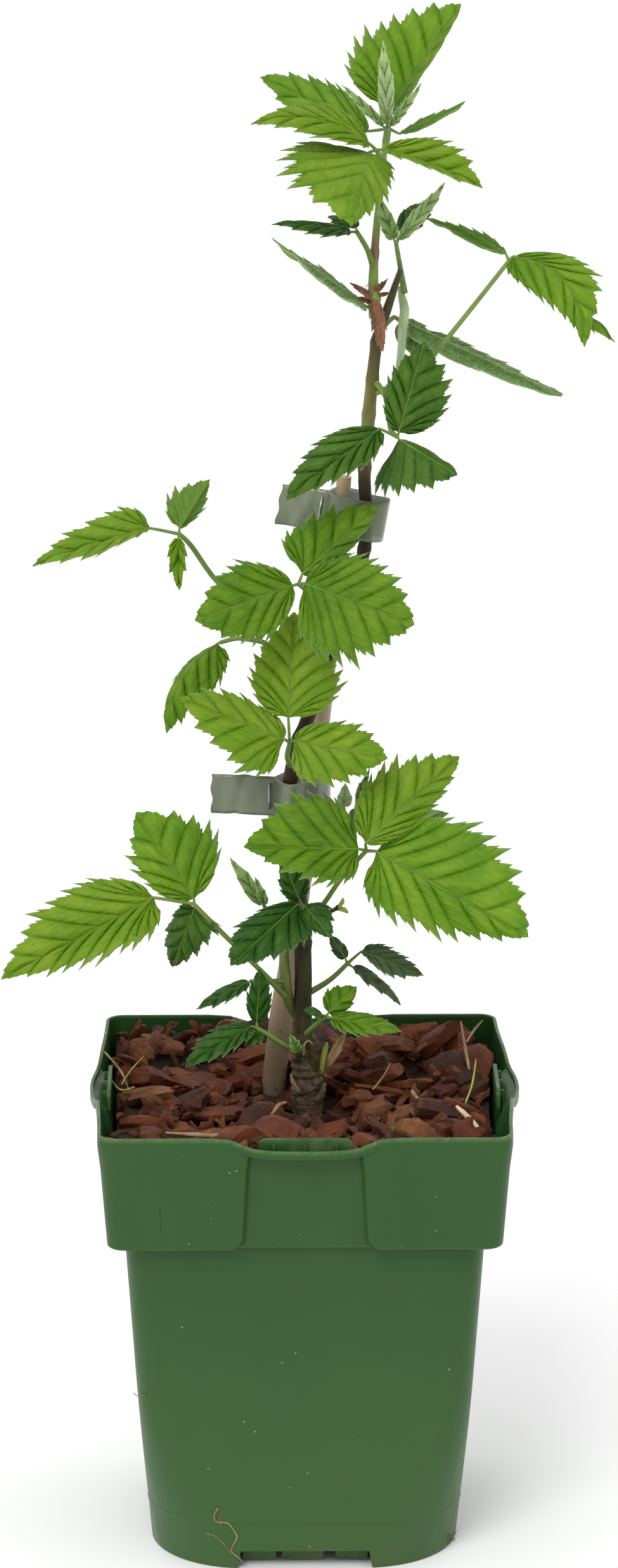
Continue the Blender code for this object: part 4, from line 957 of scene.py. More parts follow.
bambooSkin, tree, shader = newMaterial("bambooSkin", Roughness=0.55)
place = objectPlace(tree, (1, 1, 0.05))
grain = noise(tree, place, 900.0, 3.0)
blot = remap(tree, noise(tree, objectPlace(tree, (1, 1, 0.4)), 60.0, 4.0), 0.35, 0.65)
tan = mixColour(tree, grain, (0.330, 0.235, 0.140), (0.450, 0.345, 0.220))
tan = mixColour(tree, times(tree, blot, 0.3), tan, (0.220, 0.160, 0.090))
axes = objectAxes(tree)
# painted shade: darker towards its foot, down in the pot among the stems
paintedFootShade = remap(tree, axes[2], 0.146, 0.178, 0.7, 0.0)
tan = mixColour(tree, paintedFootShade, tan, (0.120, 0.085, 0.048))
dot = remap(tree, cellDistance(tree, objectPlace(tree), 260.0), 0.10, 0.16, 0.7, 0.0)
setColour(tree, shader, mixColour(tree, dot, tan, (0.060, 0.035, 0.020)))
setBump(tree, shader, grain, 0.25, 0.0003)


def makeCane():
    path = smoothPath(ledDown(canePath, stemForms["caneFootZ"]), 12)
    path = swollen(swollen(path, *stemForms["caneNodes"]), *stemForms["crownRings"])
    cane = stem("cane", [path], caneBark, sides=28, bumps=0.35, bumpScale=260.0, steps=1)
    low, high = (seen(place) * mm for place in stemForms["cutTop"])
    slope = (high - low).cross(Vector((0, 1, 0)))
    slope = -slope if slope.z < 0 else slope

    def prune(shape):
        parts = shape.verts[:] + shape.edges[:] + shape.faces[:]
        cut = bmesh.ops.bisect_plane(shape, geom=parts, plane_co=low, plane_no=slope, clear_outer=True)
        edges = [item for item in cut["geom_cut"] if isinstance(item, bmesh.types.BMEdge)]
        for face in bmesh.ops.triangle_fill(shape, edges=edges, use_beauty=True)["geom"]:
            if isinstance(face, bmesh.types.BMFace):
                face.material_index = 1
                face.smooth = False
        bmesh.ops.recalc_face_normals(shape, faces=shape.faces)

    meshJob(cane, prune)
    cane.data.materials.append(cutWood)
    knobs = grown("knobs", stemForms, caneBark, sides=16, bumps=0.9, bumpScale=700.0, seed=3)
    buds = grown("buds", stemForms, budGreen, bumps=0.3)
    hooks = grown("hooks", stemForms, dryTan, sides=8, bumps=0.3)
    sheath = makeBlade(
        "sheath", leaflet((515, 1682, 1), (548, 1626, -2), (1.6, -1), (2.0, 1.5), teeth=3), "bright",
        random.Random(3), 0.08,
    )
    sheath.data.materials[0] = sheath.data.materials[1] = dryTan
    bud = makeBlade("bud", leaflet((470, 1660, -7), (458, 1632, -8), (2.2, 2), (2.2, 2), teeth=4), "silver",
                    random.Random(4), 0.2)
    piece = joinPieces([cane, knobs, buds, hooks, sheath, bud], "woody_cane")
    finishPiece(piece, "main_cane")


def makeBamboo():
    path = smoothPath(ledDown(bambooPath, stemForms["bambooFootZ"]), 12)
    path = swollen(path, *stemForms["bambooNodes"])
    piece = stem("bamboo_stake", [path], bambooSkin, sides=32, bumps=0.06, bumpScale=90.0, steps=1)
    finishPiece(piece, "bamboo_cane")


makeCane()
makeBamboo()

# green shoots
shootUpper, tree, shader = newMaterial("shootUpper", Roughness=0.5)
axes = objectAxes(tree)
streak = remap(tree, noise(tree, objectPlace(tree, (1, 1, 0.2)), 300.0, 4.0), 0.35, 0.65)
fresh = mixColour(tree, streak, (0.120, 0.230, 0.030), (0.250, 0.330, 0.060))
red = mixColour(tree, streak, (0.130, 0.060, 0.025), (0.200, 0.120, 0.050))
band = times(tree, remap(tree, axes[2], 0.418, 0.423), remap(tree, axes[2], 0.427, 0.433, 1.0, 0.0))
setColour(tree, shader, mixColour(tree, band, fresh, red))

dryLeaflets = (
    leaflet((592, 472, -1.2), (604, 556, -3.5), (2.4, -1.5), (2.8, 1.5), teeth=3, arch=0.06),
    leaflet((599, 478, -1.0), (590, 520, -3.0), (1.4, -1), (1.2, 1), teeth=3),
    leaflet((590, 470, 0.0), (552, 446, -4), (1.6, 1.2), (1.2, 0), teeth=2, arch=0.12),
    leaflet((588, 476, 0.0), (560, 470, -4), (1.2, 1), (1.0, 0), teeth=2, arch=-0.1),
    leaflet((592, 462, 0.5), (612, 440, -3), (1.2, 1), (1.0, 0), teeth=2),
    leaflet((598, 466, 0.5), (616, 462, -3), (0.9, 1), (0.8, 0), teeth=2),
)


def makeUpperShoot():
    path = swollen(smoothPath(stemPath(upperPath), 8), *stemForms["upperNodes"])
    shoot = stem("upper", [path], shootUpper, sides=18, bumps=0.25, steps=1)
    draw = random.Random(2)
    dry = [makeBlade("dry", form, "bright", draw, 0.1) for form in dryLeaflets]
    for blade in dry:
        blade.data.materials[0] = blade.data.materials[1] = dryBrown
    threads = []
    for _ in range(stemForms["threads"]):
        start = seen((584 + draw.uniform(0, 14), 450 + draw.uniform(-8, 16), -0.5))
        side = draw.choice((-1, 1))
        reach = Vector((side * draw.uniform(2, 5), -draw.uniform(0, 2), draw.uniform(-2, 3)))
        end = start + reach + Vector((0, 0, -1))
        threads.append([(start, 0.12), (start + reach * 0.5, 0.1), (end, 0.03)])
    wisps = stem("threads", threads, dryTan, sides=5, bumps=0.0, steps=3)
    piece = growHairs(joinPieces([shoot, wisps] + dry, "green_upper_shoot"), "upper")
    finishPiece(piece, "upper_shoot")


def makeShoots():
    lateral = stem("green_lateral_shoot", [stemPath(lateralPath)], shootGreen, sides=18, bumps=0.2)
    finishPiece(lateral, "lateral_shoot")
    young = stem("hairy_young_shoot", [stemPath(youngPath)], shootSilver, sides=16, bumps=0.5)
    finishPiece(growHairs(young, "young"), "young_shoot")


makeUpperShoot()
makeShoots()
print("stems made")

# pot: a closed shell with a recessed panel, a bowed lip, a ribbed tab on each side and notches at its foot
pot = {
    "height": 153.0, "wall": 1.2, "rimHalf": 66.0, "collarFootHalf": 63.2, "collarFootZ": 114.5,
    "collarRadius": 6.0, "bodyTopHalf": 57.8, "bodyTopRadius": 9.0, "bodyFootHalf": 50.3,
    "bodyFootRadius": 35.0, "roundingZ": 66.0, "recess": 2.5, "bow": 3.2, "drop": 3.4, "lip": 3.0,
    "sway": (1.9, 2.8), "sideBow": 0.6, "panelHalf": (19.7, 17.7), "panelRound": 4.0,
    "ridgeZ": 17.0, "ridge": 0.16, "edge": 0.35,
    "tabWidth": 30.0, "tabFront": 64.0, "tabFootZ": 145.5, "tabTop": 152.2, "tabRound": 2.6,
    "notch": (21.0, 22.7, 6.3), "ribs": (-10.0, 0.0, 10.0),
    "feet": ((-20.2, -9.5), (-7.5, 6.0), (10.0, 20.5)),
}
sideStations = (0.0, 0.2, 0.4, 0.6, 0.8)


def quarterTurn(x, y, quarters):
    c, s = ((1, 0), (0, 1), (-1, 0), (0, -1))[quarters]
    return c * x - s * y, s * x + c * y


def outline(half, radius, panelEdge):
    # points, outward normals and distances from the side's middle, round the four sides
    flat = half - radius
    close = [panelEdge + away for away in (-1.3, -0.8, -0.35, 0.1, 0.55, 1.0, 1.5)]
    inner = [part * close[0] for part in sideStations]
    end = max(flat, close[-1] + 1.0)
    outer = [close[-1] + (end - close[-1]) * part for part in (0.12, 0.3, 0.5, 0.72, 1.0)]
    straight = inner + close + outer
    quarter = [(half, away, 1.0, 0.0, away) for away in straight]
    for step in range(1, 12):
        angle = math.radians(90 * step / 12)
        x, y = math.cos(angle), math.sin(angle)
        quarter.append((flat + radius * x, flat + radius * y, x, y, 99.0))
    quarter += [(away, half, 0.0, 1.0, away) for away in reversed(straight[1:])]
    x, y, nx, ny, away = np.array(quarter).T
    sides = [(*quarterTurn(x, y, side), *quarterTurn(nx, ny, side), away) for side in range(4)]
    return np.concatenate([np.stack(side, 1) for side in sides])


def upCollar(z):
    return (z - pot["collarFootZ"]) / (pot["height"] - pot["collarFootZ"])


def collarHalf(z):
    return pot["collarFootHalf"] + (pot["rimHalf"] - pot["collarFootHalf"]) * upCollar(z)


def panelEdge(z):
    (low, high), radius = pot["panelHalf"], pot["panelRound"]
    corner = max(radius - (z - pot["collarFootZ"]), 0.0)
    rounding = math.sqrt(max(radius ** 2 - corner ** 2, 0))
    return low + (high - low) * np.clip(upCollar(z), 0, 1) + radius - rounding


def bodyRing(z, inset=0.0):
    half = pot["bodyFootHalf"] + (pot["bodyTopHalf"] - pot["bodyFootHalf"]) * z / pot["collarFootZ"]
    half += pot["ridge"] * math.exp(-((z - pot["ridgeZ"]) / 0.5) ** 2)
    grow = 1 - float(smoothstep(-20, pot["roundingZ"], z))
    radius = pot["bodyTopRadius"] + (pot["bodyFootRadius"] - pot["bodyTopRadius"]) * grow
    rows = outline(half, radius, 19.7 if half - radius > 22 else 12.0)
    return np.column_stack([rows[:, :2] - rows[:, 2:4] * inset, np.full(len(rows), z)])


def swayed(rows, z):
    # the rim's left and right sides stand out in the middle, as soft plastic does
    left, right = pot["sway"]
    part = np.clip(upCollar(z), 0, 1) ** 1.5
    middle = np.cos(math.pi / 2 * np.clip(rows[:, 1] / 62, -1, 1)) ** 2
    rows = rows.copy()
    rows[:, 0] += np.where(rows[:, 0] > 0, right, -left) * part * middle * abs(rows[:, 2])
    return rows


def collarRing(z, inset=0.0):
    edge = panelEdge(z)
    rows = swayed(outline(collarHalf(z), pot["collarRadius"], edge), z)
    recess = pot["recess"] * (1 - smoothstep(edge - 0.8, edge + 0.9, rows[:, 4]))
    recess = (recess + inset)[:, None]
    return np.column_stack([rows[:, :2] - rows[:, 2:4] * recess, np.full(len(rows), z)])


def lipRing(above, out, inset=0.0):
    # above: height over the lip's lower edge; out: 0 at the recessed panel, 1 at the bowed lip
    top = pot["height"]
    rows = swayed(outline(collarHalf(top), pot["collarRadius"], panelEdge(top)), top)
    away = rows[:, 4]
    drop = pot["drop"] * (1 - smoothstep(14, 27, away))
    bow = pot["bow"] * np.maximum(1 - (away / 21.0) ** 2, 0.0)
    bow *= np.where(abs(rows[:, 2]) > 0.7, pot["sideBow"], 1.0)
    recess = pot["recess"] * (1 - smoothstep(16.9, 18.6, away))
    shift = bow * out - recess * (1 - out) - inset
    z = top - drop - pot["lip"] + above
    return np.column_stack([rows[:, :2] + rows[:, 2:4] * shift[:, None], z])


def ringSkin(rings):
    count = len(rings[0])
    index = np.arange(len(rings) * count).reshape(len(rings), count)
    after = np.roll(index, -1, axis=1)
    quads = np.stack([index[:-1], after[:-1], after[1:], index[1:]], axis=-1).reshape(-1, 4)
    return np.concatenate(rings), quads


def potShell():
    foot, wall, edge, lip = pot["collarFootZ"], pot["wall"], pot["edge"], pot["lip"]
    bodyLevels = [0.5, 1.5, 5.0, 9.0, 13.0, 15.6, 16.3, 16.7, 17.0, 17.3, 17.7, 18.4, 22.0]
    bodyLevels += [22.0 + (112.5 - 22.0) * k / 14 for k in range(1, 15)] + [113.6, 114.2]
    rises = (0.8, 1.6, 2.4, 3.2, 4.2, 6.0, 10.0, 15.0, 20.0, 24.0, 26.5)
    collarLevels = [foot + rise for rise in rises]
    outer = [bodyRing(0.0, edge)] + [bodyRing(z) for z in bodyLevels]
    outer += [collarRing(foot + rise, inset) for rise, inset in ((0.0, 0.9), (0.08, 0.4), (0.35, 0.1))]
    outer += [collarRing(z) for z in collarLevels]
    outer += [lipRing(*ring) for ring in (
        (-1.2, 0.0), (-0.15, 0.0), (-0.05, 0.5), (0.0, 0.93), (0.3, 1.0), (1.4, 1.0), (lip - edge, 1.0),
        (lip - 0.08, 1.0, 0.12),
    )]
    inner = [lipRing(*ring) for ring in (
        (lip, 1.0, edge), (lip, 1.0, wall - edge), (lip - 0.08, 1.0, wall - 0.12), (lip - edge, 1.0, wall),
        (1.4, 1.0, wall), (0.3 + wall, 1.0, wall), (-0.1 + wall, 0.5, wall), (-0.2, 0.0, wall),
        (-1.2, 0.0, wall),
    )]
    inner += [collarRing(z, wall) for z in reversed(collarLevels[3:])]
    inner += [collarRing(foot + wall, wall), bodyRing(foot + wall * 0.5, wall)]
    inner += [bodyRing(z, wall) for z in (112.5, 92.0, 72.0, 52.0, 32.0, 16.0, 8.0, 0.5)]
    inner.append(bodyRing(0.0, wall - edge))
    points, quads = ringSkin(outer + inner + [outer[0]])
    # wear and painted shade: how worn an edge is, and whether it is inside, where the wall is darkened as
    # painted shade
    wear = np.zeros((len(points), 2))
    count = len(outer[0])
    rim, ledge = count * len(outer), count * (1 + len(bodyLevels))
    wear[rim:, 1] = 1.0
    wear[rim - count * 2: rim + count * 3, 0] = 1.0
    wear[ledge + count: ledge + count * 3, 0] = 0.6
    wear[-count:, 1] = 0.0
    shell = meshFrom("shell", points, quads, {"wear": wear})
    weld(shell, 0.005)
    return shell


def boxMesh(name, low, high, turn=0.0, bevel=0.0):
    shape = bmesh.new()
    bmesh.ops.create_cube(shape, size=1.0)
    size, middle = Vector(high) - Vector(low), (Vector(high) + Vector(low)) / 2
    place = Matrix.Translation(middle) @ Matrix.Diagonal((*size, 1.0))
    bmesh.ops.transform(shape, matrix=place, verts=shape.verts)
    if bevel:
        upright = [e for e in shape.edges if abs(e.verts[0].co.y - e.verts[1].co.y) > abs(size.y) * 0.9]
        top = [e for e in upright if e.verts[0].co.z > middle.z]
        bmesh.ops.bevel(shape, geom=top, offset=bevel, segments=5, profile=0.5, affect="EDGES")
    bmesh.ops.transform(shape, matrix=Matrix.Rotation(turn, 4, "Z"), verts=shape.verts)
    bmesh.ops.scale(shape, vec=(mm, mm, mm), verts=shape.verts)
    mesh = bpy.data.meshes.new(name)
    shape.to_mesh(mesh)
    shape.free()
    mesh.uv_layers.new(name="wear")
    return newPiece(name, mesh)


def notchCutter(quarters):
    top, foot, height = pot["notch"]
    section = [(-foot, -0.5), (foot, -0.5), (foot - 0.8, 0.5), (top, height - 0.4), (top - 0.4, height),
               (0.4 - top, height), (-top, height - 0.4), (0.8 - foot, 0.5)]
    points = [(*quarterTurn(x, y, quarters), z) for y in (-80, 80) for x, z in section]
    n = len(section)
    faces = [tuple(range(n - 1, -1, -1)), tuple(range(n, 2 * n))]
    faces += [(i, (i + 1) % n, n + (i + 1) % n, n + i) for i in range(n)]
    cutter = meshFrom("notch", points, faces, smooth=False)
    faceOutwards(cutter)
    return cutter


def onWall(pixelX, pixelY, out=0.2):
    # the place on the pot's front that the photo shows at a pixel
    depth = -55.0
    for _ in range(5):
        at = seen((pixelX, pixelY, depth))
        ring = bodyRing(at.z) if at.z < pot["collarFootZ"] else collarRing(min(at.z, 146.0))
        front = ring[ring[:, 1] < 0]
        order = np.argsort(front[:, 0])
        depth = np.interp(at.x, front[order, 0], front[order, 1])
    at = seen((pixelX, pixelY, depth - out))
    return Vector((at.x, at.y, max(at.z, 0.5)))


# dried roots, fluff and scratches on the pot: the pixels that they pass through
soiling = {
    "roots": (
        (0.28, ((344, 2380), (338, 2392), (342, 2402), (359, 2404), (368, 2414), (374, 2427), (367, 2440),
                (366, 2450), (376, 2458), (383, 2467))),
        (0.14, ((325, 2420), (338, 2424), (350, 2434), (365, 2452))),
        (0.16, ((211, 2199), (218, 2204), (227, 2202), (229, 2206))),
        (0.12, ((352, 2388), (346, 2396), (350, 2410))),
    ),
    "scratches": ((0.05, ((254, 1900), (252, 1912), (255, 1928), (253, 1945))),),
    "fluff": ((711, 2427), 26, 3.2),
}


def makeSoiling():
    roots = [[(onWall(*at), radius) for at in line] for radius, line in soiling["roots"]]
    scratches = [[(onWall(*at, out=0.02), radius) for at in line] for radius, line in soiling["scratches"]]
    (pixelX, pixelY), count, reach = soiling["fluff"]
    draw, fluff = random.Random(8), []
    for _ in range(count):
        start = onWall(pixelX + draw.uniform(-7, 7), pixelY + draw.uniform(-8, 8), 0.1)
        way = Vector((draw.uniform(-1, 1), -draw.uniform(0.2, 0.9), draw.uniform(-1, 1)))
        tip = start + way * reach * 0.4
        tip.z = max(tip.z, 0.4)  # none goes under the table
        fluff.append([(start, 0.09), (start.lerp(tip, 0.5) + Vector((0.3, 0, 0.2)), 0.07), (tip, 0.03)])
    return [
        stem("roots", roots, dryTan, sides=6, bumps=0.2, steps=4),
        stem("scratches", scratches, soilDark, sides=6, bumps=0.0, steps=3),
        stem("fluff", fluff, dryBrown, sides=4, bumps=0.0, steps=2),
    ]


def makePot():
    shell = potShell()
    for quarters in (0, 1):
        cutter = notchCutter(quarters)
        cut = shell.modifiers.new("notch", "BOOLEAN")
        cut.operation, cut.solver, cut.object = "DIFFERENCE", "EXACT", cutter
        shell = plainMesh(shell)
        bpy.data.objects.remove(cutter)
    half, front, top = pot["tabWidth"] / 2, pot["tabFront"], pot["tabTop"]
    floorPoints, floorQuads = ringSkin([bodyRing(7.0, 0.7), bodyRing(8.5, 0.7)])
    count = len(floorPoints) // 2
    floorFaces = list(floorQuads) + [list(range(count))[::-1], list(range(count, 2 * count))]
    wear = {"wear": np.zeros((2 * count, 2))}
    pieces = [shell, meshFrom("floor", floorPoints, floorFaces, wear, smooth=False)]
    for side in range(4):
        turn = side * math.pi / 2
        low, high = (-half, -front, pot["tabFootZ"]), (half, 1.2 - front, top)
        pieces.append(boxMesh("tab", low, high, turn, pot["tabRound"]))
        for x in pot["ribs"]:
            low, high = (x - 0.35, -front - 1.4, 148.0), (x + 0.35, 0.3 - front, 150.8)
            pieces.append(boxMesh("rib", low, high, turn))
        for left, right in pot["feet"]:
            pieces.append(boxMesh("foot", (left, -45.0, 1.2), (right, -43.4, 7.3), turn))
    plastic = joinPieces(pieces, "plastic")
    plastic.data.materials.clear()
    plastic.data.materials.append(potGreen)
    plastic.data.shade_smooth()
    plastic.data.set_sharp_from_angle(angle=math.radians(38))
    finishPiece(joinPieces([plastic] + makeSoiling(), "plastic_pot"), "pot")


potGreen, tree, shader = newMaterial("potGreen", Roughness=0.40, Specular_IOR_Level=0.3)
place = objectPlace(tree)
axes = objectAxes(tree)
edgeWear, inside = mapAxes(tree, "wear")
# painted light and shade: the wall is lighter at its foot and darker from 100 mm up, under the collar
height = remap(tree, axes[2], 0.0, 0.10)
base = mixColour(tree, height, (0.036, 0.098, 0.024), (0.015, 0.067, 0.009))
cloud = remap(tree, noise(tree, objectPlace(tree, (1, 1, 0.5)), 26.0, 4.0), 0.3, 0.7)
base = mixColour(tree, times(tree, cloud, 0.25), base, (0.036, 0.092, 0.020))
# painted shade inside the pot: the inner wall is darkened
base = mixColour(tree, times(tree, inside, 0.35), base, (0.010, 0.040, 0.010))
worn = times(tree, edgeWear, remap(tree, noise(tree, place, 350.0, 3.0), 0.3, 0.7, 0.10, 0.45))
base = mixColour(tree, worn, base, (0.150, 0.250, 0.090))
speckle = remap(tree, cellDistance(tree, place, 210.0), 0.035, 0.060, 1.0, 0.0)
chosen = remap(tree, noise(tree, place, 60.0, 2.0), 0.56, 0.60)
speckle = times(tree, speckle, times(tree, chosen, 0.8))
base = mixColour(tree, speckle, base, (0.42, 0.46, 0.36))
grit = remap(tree, noise(tree, objectPlace(tree, (1, 1, 1), (0.4, 0.2, 0.0)), 620.0, 5.0), 0.665, 0.70)
gritWhere = remap(tree, noise(tree, place, 21.0, 2.0), 0.52, 0.62)
grit = times(tree, grit, times(tree, gritWhere, 0.8))
base = mixColour(tree, grit, base, (0.060, 0.030, 0.015))
muddy = remap(tree, noise(tree, place, 45.0, 5.0), 0.45, 0.7)
soiled = times(tree, remap(tree, axes[2], 0.0, 0.014, 0.5, 0.0), muddy)
base = mixColour(tree, soiled, base, (0.110, 0.080, 0.040))
setColour(tree, shader, base)
scuff = remap(tree, noise(tree, objectPlace(tree, (1, 1, 0.12)), 120.0, 4.0), 0.3, 0.7, 0.33, 0.50)
tree.links.new(scuff, shader.inputs["Roughness"])
fine = times(tree, noise(tree, place, 1400.0, 2.0), 0.05)
wave = maths(tree, "ADD", noise(tree, place, 30.0, 2.0), fine)
setBump(tree, shader, wave, 0.25, 0.0012)
makePot()
print("pot made")

# bark mulch: a dark bed with large and small chips and thin slivers of bark strewn over it
mulch = {
    "bedZ": 137.5, "heap": 6.0, "back": 6.5, "half": 63.0, "rows": 49, "corner": (56.0, 7.0),
    "stemClear": 9.0, "bedGap": 0.6, "sink": 3.0, "bedWall": 1.0, "seed": 4,
    "kinds": {  # how many shapes of each kind, and their form
        "chip": (9, {}),
        "sliver": (4, {"wide": (0.10, 0.20), "thick": (0.06, 0.12), "rings": 5, "sides": 5}),
    },
    "layers": (  # kind, gap to the wall, number to a square metre, smallest and largest in mm, tilt, seed
        ("chip", 5.0, 6500.0, 14.0, 27.0, 0.55, 3),
        ("chip", 2.0, 21000.0, 4.5, 11.0, 1.2, 5),
        ("sliver", 4.0, 9000.0, 7.0, 18.0, 0.7, 7),
    ),
    # chips stay this far inside the collar, further behind its panels, and within its corners
    "wallGap": 0.6, "panelFade": (19.5, 24.0), "cornerStart": 58.5, "cornerRadius": 5.2,
}


def chipShape(name, draw, length=1.0, wide=(0.45, 0.80), thick=(0.18, 0.34), rings=7, sides=8):
    # a weathered flake of bark, rounded at its rims and broken at its ends, one unit long
    width, height = draw.uniform(*wide), draw.uniform(*thick)
    bend, lean = draw.uniform(-0.10, 0.10), draw.uniform(-0.25, 0.25)
    blunt = (draw.uniform(0.10, 0.55), draw.uniform(0.10, 0.55))
    angles = [2 * math.pi * (k + draw.uniform(-0.32, 0.32)) / sides for k in range(sides)]
    grain = [draw.uniform(0.88, 1.08) for _ in range(sides)]
    points, maps, faces = [], [], []
    for ring in range(rings):
        t = ring / (rings - 1)
        taper = min(1.0, blunt[0] + 2.6 * t, blunt[1] + 2.6 * (1 - t)) ** 0.7
        swell, slide = draw.uniform(0.84, 1.10), draw.uniform(-0.05, 0.05)
        for k, angle in enumerate(angles):
            c, s = math.cos(angle), math.sin(angle)
            square = max(abs(c), abs(s)) ** -0.3
            jitter = grain[k] * draw.uniform(0.84, 1.14)
            x = (t - 0.5) * length + draw.uniform(-0.05, 0.05) + lean * c * width * 0.5
            y = c * square * width / 2 * taper * swell * jitter + bend * math.sin(math.pi * t) + slide
            z = s * square * height / 2 * (0.35 + 0.65 * taper) * jitter + bend * 0.5 * math.cos(3 * t)
            points.append((x, y, z))
            maps.append((k / sides, t))
    for ring in range(rings - 1):
        for k in range(sides):
            a, b = ring * sides + k, ring * sides + (k + 1) % sides
            faces.append((a, b, b + sides, a + sides))
    faces.append(tuple(range(sides))[::-1])
    faces.append(tuple(range((rings - 1) * sides, rings * sides)))
    chip = meshFrom(name, np.array(points) / mm, faces, {"grain": maps})
    faceOutwards(chip)
    chip.data.set_sharp_from_angle(angle=math.radians(42))
    return chip


def kindsOf(name, draw, count, form):
    kinds = bpy.data.collections.new(name)
    bpy.context.scene.collection.children.link(kinds)
    for number in range(count):
        chip = chipShape(f"{name}{number}", draw, **form)
        bpy.context.scene.collection.objects.unlink(chip)
        kinds.objects.link(chip)
    return kinds


def strewBed(margin):
    # the surface that the chips lie on, and which of its faces are clear of the stems and corners
    spread = np.linspace(margin - mulch["half"], mulch["half"] - margin, mulch["rows"])
    x, y = np.meshgrid(spread, spread)
    heap = mulch["heap"] * smoothstep(15, 50, np.maximum(abs(x), abs(y)))
    heap += mulch["back"] * smoothstep(15, 58, y) * (1 - 0.45 * smoothstep(-15, 40, x))
    z = mulch["bedZ"] + heap + 1.6 * np.sin(x * 0.21 + 1.0) * np.cos(y * 0.17)
    points, quads = np.stack([x.ravel(), y.ravel(), z.ravel()], 1), gridQuads(*x.shape)
    middles = points[quads].mean(axis=1)
    start, radius = mulch["corner"]
    beyond = np.maximum(abs(middles[:, :2]) - start, 0)
    keep = np.hypot(beyond[:, 0], beyond[:, 1]) < radius - margin
    for foot in (seen(canePath[0][:3]), seen(bambooPath[0][:3])):
        keep &= np.hypot(middles[:, 0] - foot.x, middles[:, 1] - foot.y) > mulch["stemClear"]
    return points, quads, keep


def keepInside(piece):
    # chips that would come through the wall are laid along it
    flat = np.empty(len(piece.data.vertices) * 3)
    piece.data.vertices.foreach_get("co", flat)
    co = flat.reshape(-1, 3) / mm
    for axis, other in ((0, 1), (1, 0)):
        inner = collarHalf(co[:, 2]) - pot["wall"] - mulch["wallGap"]
        inner -= pot["recess"] * (1 - smoothstep(*mulch["panelFade"], abs(co[:, other])))
        co[:, axis] = np.clip(co[:, axis], -inner, inner)
    start, radius = mulch["cornerStart"], mulch["cornerRadius"]
    beyond = np.maximum(abs(co[:, :2]) - start, 0.0)
    reach = np.hypot(beyond[:, 0], beyond[:, 1])
    scale = np.where(reach > radius, radius / np.maximum(reach, 1e-6), 1.0)[:, None]
    co[:, :2] = np.sign(co[:, :2]) * np.where(beyond > 0, start + beyond * scale, abs(co[:, :2]))
    piece.data.vertices.foreach_set("co", (co * mm).ravel())


def barkMaterial(name, dark, red, pale):
    material, tree, shader = newMaterial(name, Roughness=0.58, Specular_IOR_Level=0.18)
    tone = addNode(tree, "ShaderNodeAttribute", attribute_name="tone").outputs["Vector"]
    toneX, toneY = addNode(tree, "ShaderNodeSeparateXYZ", {0: tone}).outputs[:2]
    around, along = mapAxes(tree, "grain")
    place = objectPlace(tree)
    fibres = joinAxes(tree, times(tree, around, 9.0), times(tree, along, 2.4), times(tree, toneX, 40.0))
    fine = noise(tree, fibres, 1.0, 5.0, 0.65, 0.5)
    blotch = remap(tree, noise(tree, place, 150.0, 6.0, 0.65), 0.36, 0.64)
    colour = mixColour(tree, remap(tree, toneX, 0.05, 0.55), dark, red)
    rust = tuple(c * k for c, k in zip(red, (1.35, 1.55, 1.30)))
    colour = mixColour(tree, remap(tree, toneX, 0.70, 0.78), colour, rust)
    colour = mixColour(tree, remap(tree, toneX, 0.90, 0.96, 0.0, 0.65), colour, pale)
    colour = mixColour(tree, times(tree, blotch, 0.6), colour, tuple(c * 0.38 for c in red))
    colour = mixColour(tree, remap(tree, fine, 0.40, 0.66, 0.0, 0.55), colour, tuple(c * 0.5 for c in dark))
    broken = remap(tree, maths(tree, "ABSOLUTE", maths(tree, "SUBTRACT", along, 0.5)), 0.42, 0.5, 0.0, 0.4)
    colour = mixColour(tree, times(tree, broken, toneY), colour, pale)
    dust = times(tree, remap(tree, noise(tree, place, 700.0, 4.0), 0.58, 0.75), toneY)
    colour = mixColour(tree, times(tree, dust, 0.45), colour, pale)
    setColour(tree, shader, colour)
    rough = maths(tree, "MULTIPLY_ADD", noise(tree, place, 330.0, 6.0, 0.65), 1.6, fine)
    setBump(tree, shader, rough, 0.85, 0.0013)
    return material


# dry stalks, a forked twig and moss that lie on the chips: (pixel x, pixel y, depth, radius in mm)
litter = {
    "straw": (((720, 1746, -30, 0.5), (735, 1760, -32, 0.9), (750, 1776, -34, 0.9),
               (762, 1792, -37, 0.4)),),
    "grass": (((722, 1792, -20, 0.25), (729, 1755, -14, 0.4), (744, 1715, -4, 0.35), (751, 1672, 4, 0.2)),
              ((192, 1712, 5, 0.25), (206, 1690, 10, 0.3), (226, 1668, 16, 0.2)),
              ((172, 1700, 8, 0.2), (190, 1720, 0, 0.3), (212, 1716, 2, 0.2))),
    "twigs": (((742, 1700, 20, 0.5), (735, 1660, 28, 0.6), (727, 1612, 34, 0.35)),
              ((736, 1645, 30, 0.45), (748, 1626, 33, 0.4), (762, 1610, 35, 0.2)),
              ((588, 1720, 6, 0.3), (604, 1700, 10, 0.4), (616, 1678, 14, 0.2)),
              ((650, 1722, -4, 0.5), (668, 1748, -14, 0.8), (694, 1780, -26, 0.4)),
              ((262, 1788, -44, 0.4), (320, 1792, -46, 0.8), (380, 1795, -47, 0.4)),
              ((165, 1660, 20, 0.3), (190, 1690, 12, 0.35), (204, 1722, 4, 0.2)),
              ((428, 1760, -20, 0.4), (440, 1744, -16, 0.7), (452, 1740, -14, 0.3))),
    "moss": ((629, 1779, -34), (680, 1788, -38)),  # the middle of each tuft
    "tuft": (44, 1.3),  # its strands and its spread in mm
}


